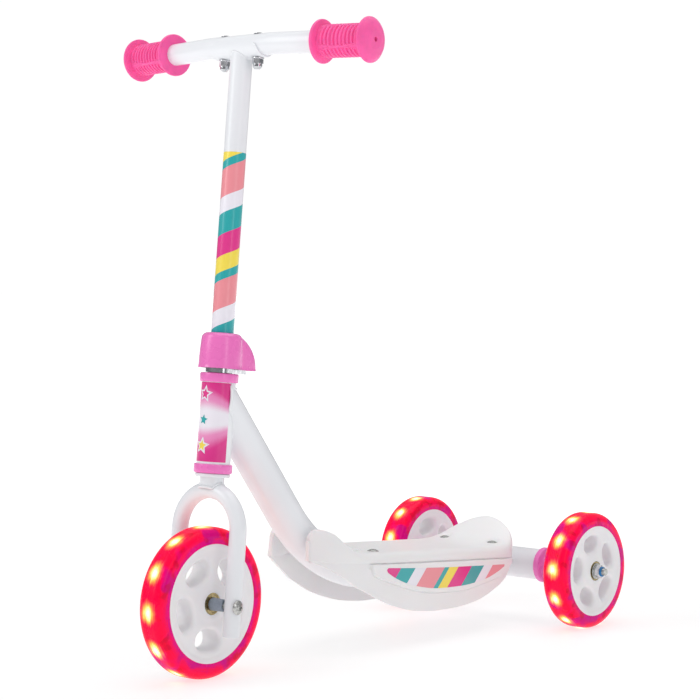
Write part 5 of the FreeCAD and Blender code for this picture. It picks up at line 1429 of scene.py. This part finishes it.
def make_camera():
    """The camera on its sphere round the scooter, looking level with a slight roll."""
    s = sizes()
    azimuth, elevation, roll = s.azimuth, s.elevation, math.radians(0.31)
    back = np.array([math.sin(azimuth) * math.cos(elevation), -math.cos(azimuth) * math.cos(elevation),
                     math.sin(elevation)])
    right = np.array([math.cos(azimuth), math.sin(azimuth), 0])
    up = np.cross(back, right)
    right, up = (math.cos(roll) * right + math.sin(roll) * up,
                 math.cos(roll) * up - math.sin(roll) * right)
    data = bpy.data.cameras.new("camera")
    data.lens, data.sensor_width = s.lens, 36
    data.clip_start, data.clip_end = 0.05, 100
    item = bpy.data.objects.new("camera", data)
    bpy.context.scene.collection.objects.link(item)
    away = np.array([1395.48, -1410.79, 326.66]) * MM
    matrix = Matrix(np.column_stack([right, up, back]).tolist()).to_4x4()
    matrix.translation = Vector(FRONT.origin + away)
    item.matrix_world = matrix
    bpy.context.scene.camera = item


# ---------------------------------------------------------------- operators and panel
class SCOOTER_OT_finishes(bpy.types.Operator):
    """Make every material and give the remaining nodes theirs."""
    bl_idname = "scooter.finishes"
    bl_label = "Finishes"

    def execute(self, context):
        make_finishes()
        finish_cad_nodes()
        return {"FINISHED"}


class SCOOTER_OT_wheels(bpy.types.Operator):
    """Build the three wheels with tyres, hubs and bearings."""
    bl_idname = "scooter.wheels"
    bl_label = "Wheels"

    def execute(self, context):
        # The last two numbers turn a wheel's lights and its pockets, in degrees.
        make_wheel("front", "", "front_wheel_spin", "front_wheel", 76, 47)
        make_wheel("rear", "_left", "rear_left_spin", "rear_wheel_left", 86, 28.6)
        make_wheel("rear", "_right", "rear_right_spin", "rear_wheel_right", 99, 28.6)
        return {"FINISHED"}


class SCOOTER_OT_fork(bpy.types.Operator):
    """Build the fork, its steerer and the front axle."""
    bl_idname = "scooter.fork"
    bl_label = "Fork"

    def execute(self, context):
        make_fork()
        make_front_axle()
        return {"FINISHED"}


class SCOOTER_OT_head(bpy.types.Operator):
    """Build the head tube, its rings and its printed label."""
    bl_idname = "scooter.head"
    bl_label = "Head"

    def execute(self, context):
        make_head()
        make_label()
        return {"FINISHED"}


class SCOOTER_OT_stem(bpy.types.Operator):
    """Build the stem with its printed stripes."""
    bl_idname = "scooter.stem"
    bl_label = "Stem"

    def execute(self, context):
        make_stem()
        return {"FINISHED"}


class SCOOTER_OT_cover(bpy.types.Operator):
    """Build the moulded cover over the stem clamp."""
    bl_idname = "scooter.cover"
    bl_label = "Clamp cover"

    def execute(self, context):
        make_cover()
        return {"FINISHED"}


class SCOOTER_OT_bar(bpy.types.Operator):
    """Build the handlebar, its cradle, screws and nuts."""
    bl_idname = "scooter.bar"
    bl_label = "Handlebar"

    def execute(self, context):
        make_bar()
        return {"FINISHED"}


class SCOOTER_OT_grips(bpy.types.Operator):
    """Build the two ribbed rubber grips."""
    bl_idname = "scooter.grips"
    bl_label = "Grips"

    def execute(self, context):
        for name, side in SIDES.items():
            make_grip(name, side)
        return {"FINISHED"}


class SCOOTER_OT_frame(bpy.types.Operator):
    """Build the main tube, the rear cross tube and the rear axle's pieces."""
    bl_idname = "scooter.frame"
    bl_label = "Frame"

    def execute(self, context):
        make_frame()
        make_rear_hardware()
        return {"FINISHED"}


class SCOOTER_OT_deck(bpy.types.Operator):
    """Build the deck, its side skirts, stripes and screws."""
    bl_idname = "scooter.deck"
    bl_label = "Deck"

    def execute(self, context):
        make_deck()
        make_skirts()
        make_deck_bolts()
        return {"FINISHED"}


class SCOOTER_OT_stage(bpy.types.Operator):
    """Set up the floor, the lights and the camera."""
    bl_idname = "scooter.stage"
    bl_label = "Stage"

    def execute(self, context):
        make_stage()
        return {"FINISHED"}


OPERATORS = (SCOOTER_OT_finishes, SCOOTER_OT_wheels, SCOOTER_OT_fork, SCOOTER_OT_head, SCOOTER_OT_stem,
             SCOOTER_OT_cover, SCOOTER_OT_bar, SCOOTER_OT_grips, SCOOTER_OT_frame, SCOOTER_OT_deck,
             SCOOTER_OT_stage)


class SCOOTER_PT_panel(bpy.types.Panel):
    """Lists the scooter's settings and its operators in the sidebar."""
    bl_label = "Kick Scooter"
    bl_idname = "SCOOTER_PT_panel"
    bl_space_type = "VIEW_3D"
    bl_region_type = "UI"
    bl_category = "Scooter"

    def draw(self, context):
        for group in (context.scene.scooter_colours, context.scene.scooter_sizes):
            for name in group.__annotations__:
                self.layout.prop(group, name)
        for operator in OPERATORS:
            self.layout.operator(operator.bl_idname)


CLASSES = (ScooterColours, ScooterSizes, *OPERATORS, SCOOTER_PT_panel)


def register():
    for item in CLASSES:
        bpy.utils.register_class(item)
    bpy.types.Scene.scooter_colours = PointerProperty(type=ScooterColours)
    bpy.types.Scene.scooter_sizes = PointerProperty(type=ScooterSizes)


def unregister():
    del bpy.types.Scene.scooter_colours
    del bpy.types.Scene.scooter_sizes
    for item in reversed(CLASSES):
        bpy.utils.unregister_class(item)


def main():
    register()
    for operator in OPERATORS:
        group, name = operator.bl_idname.split(".")
        getattr(getattr(bpy.ops, group), name)()
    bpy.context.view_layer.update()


if __name__ == "__main__":
    main()
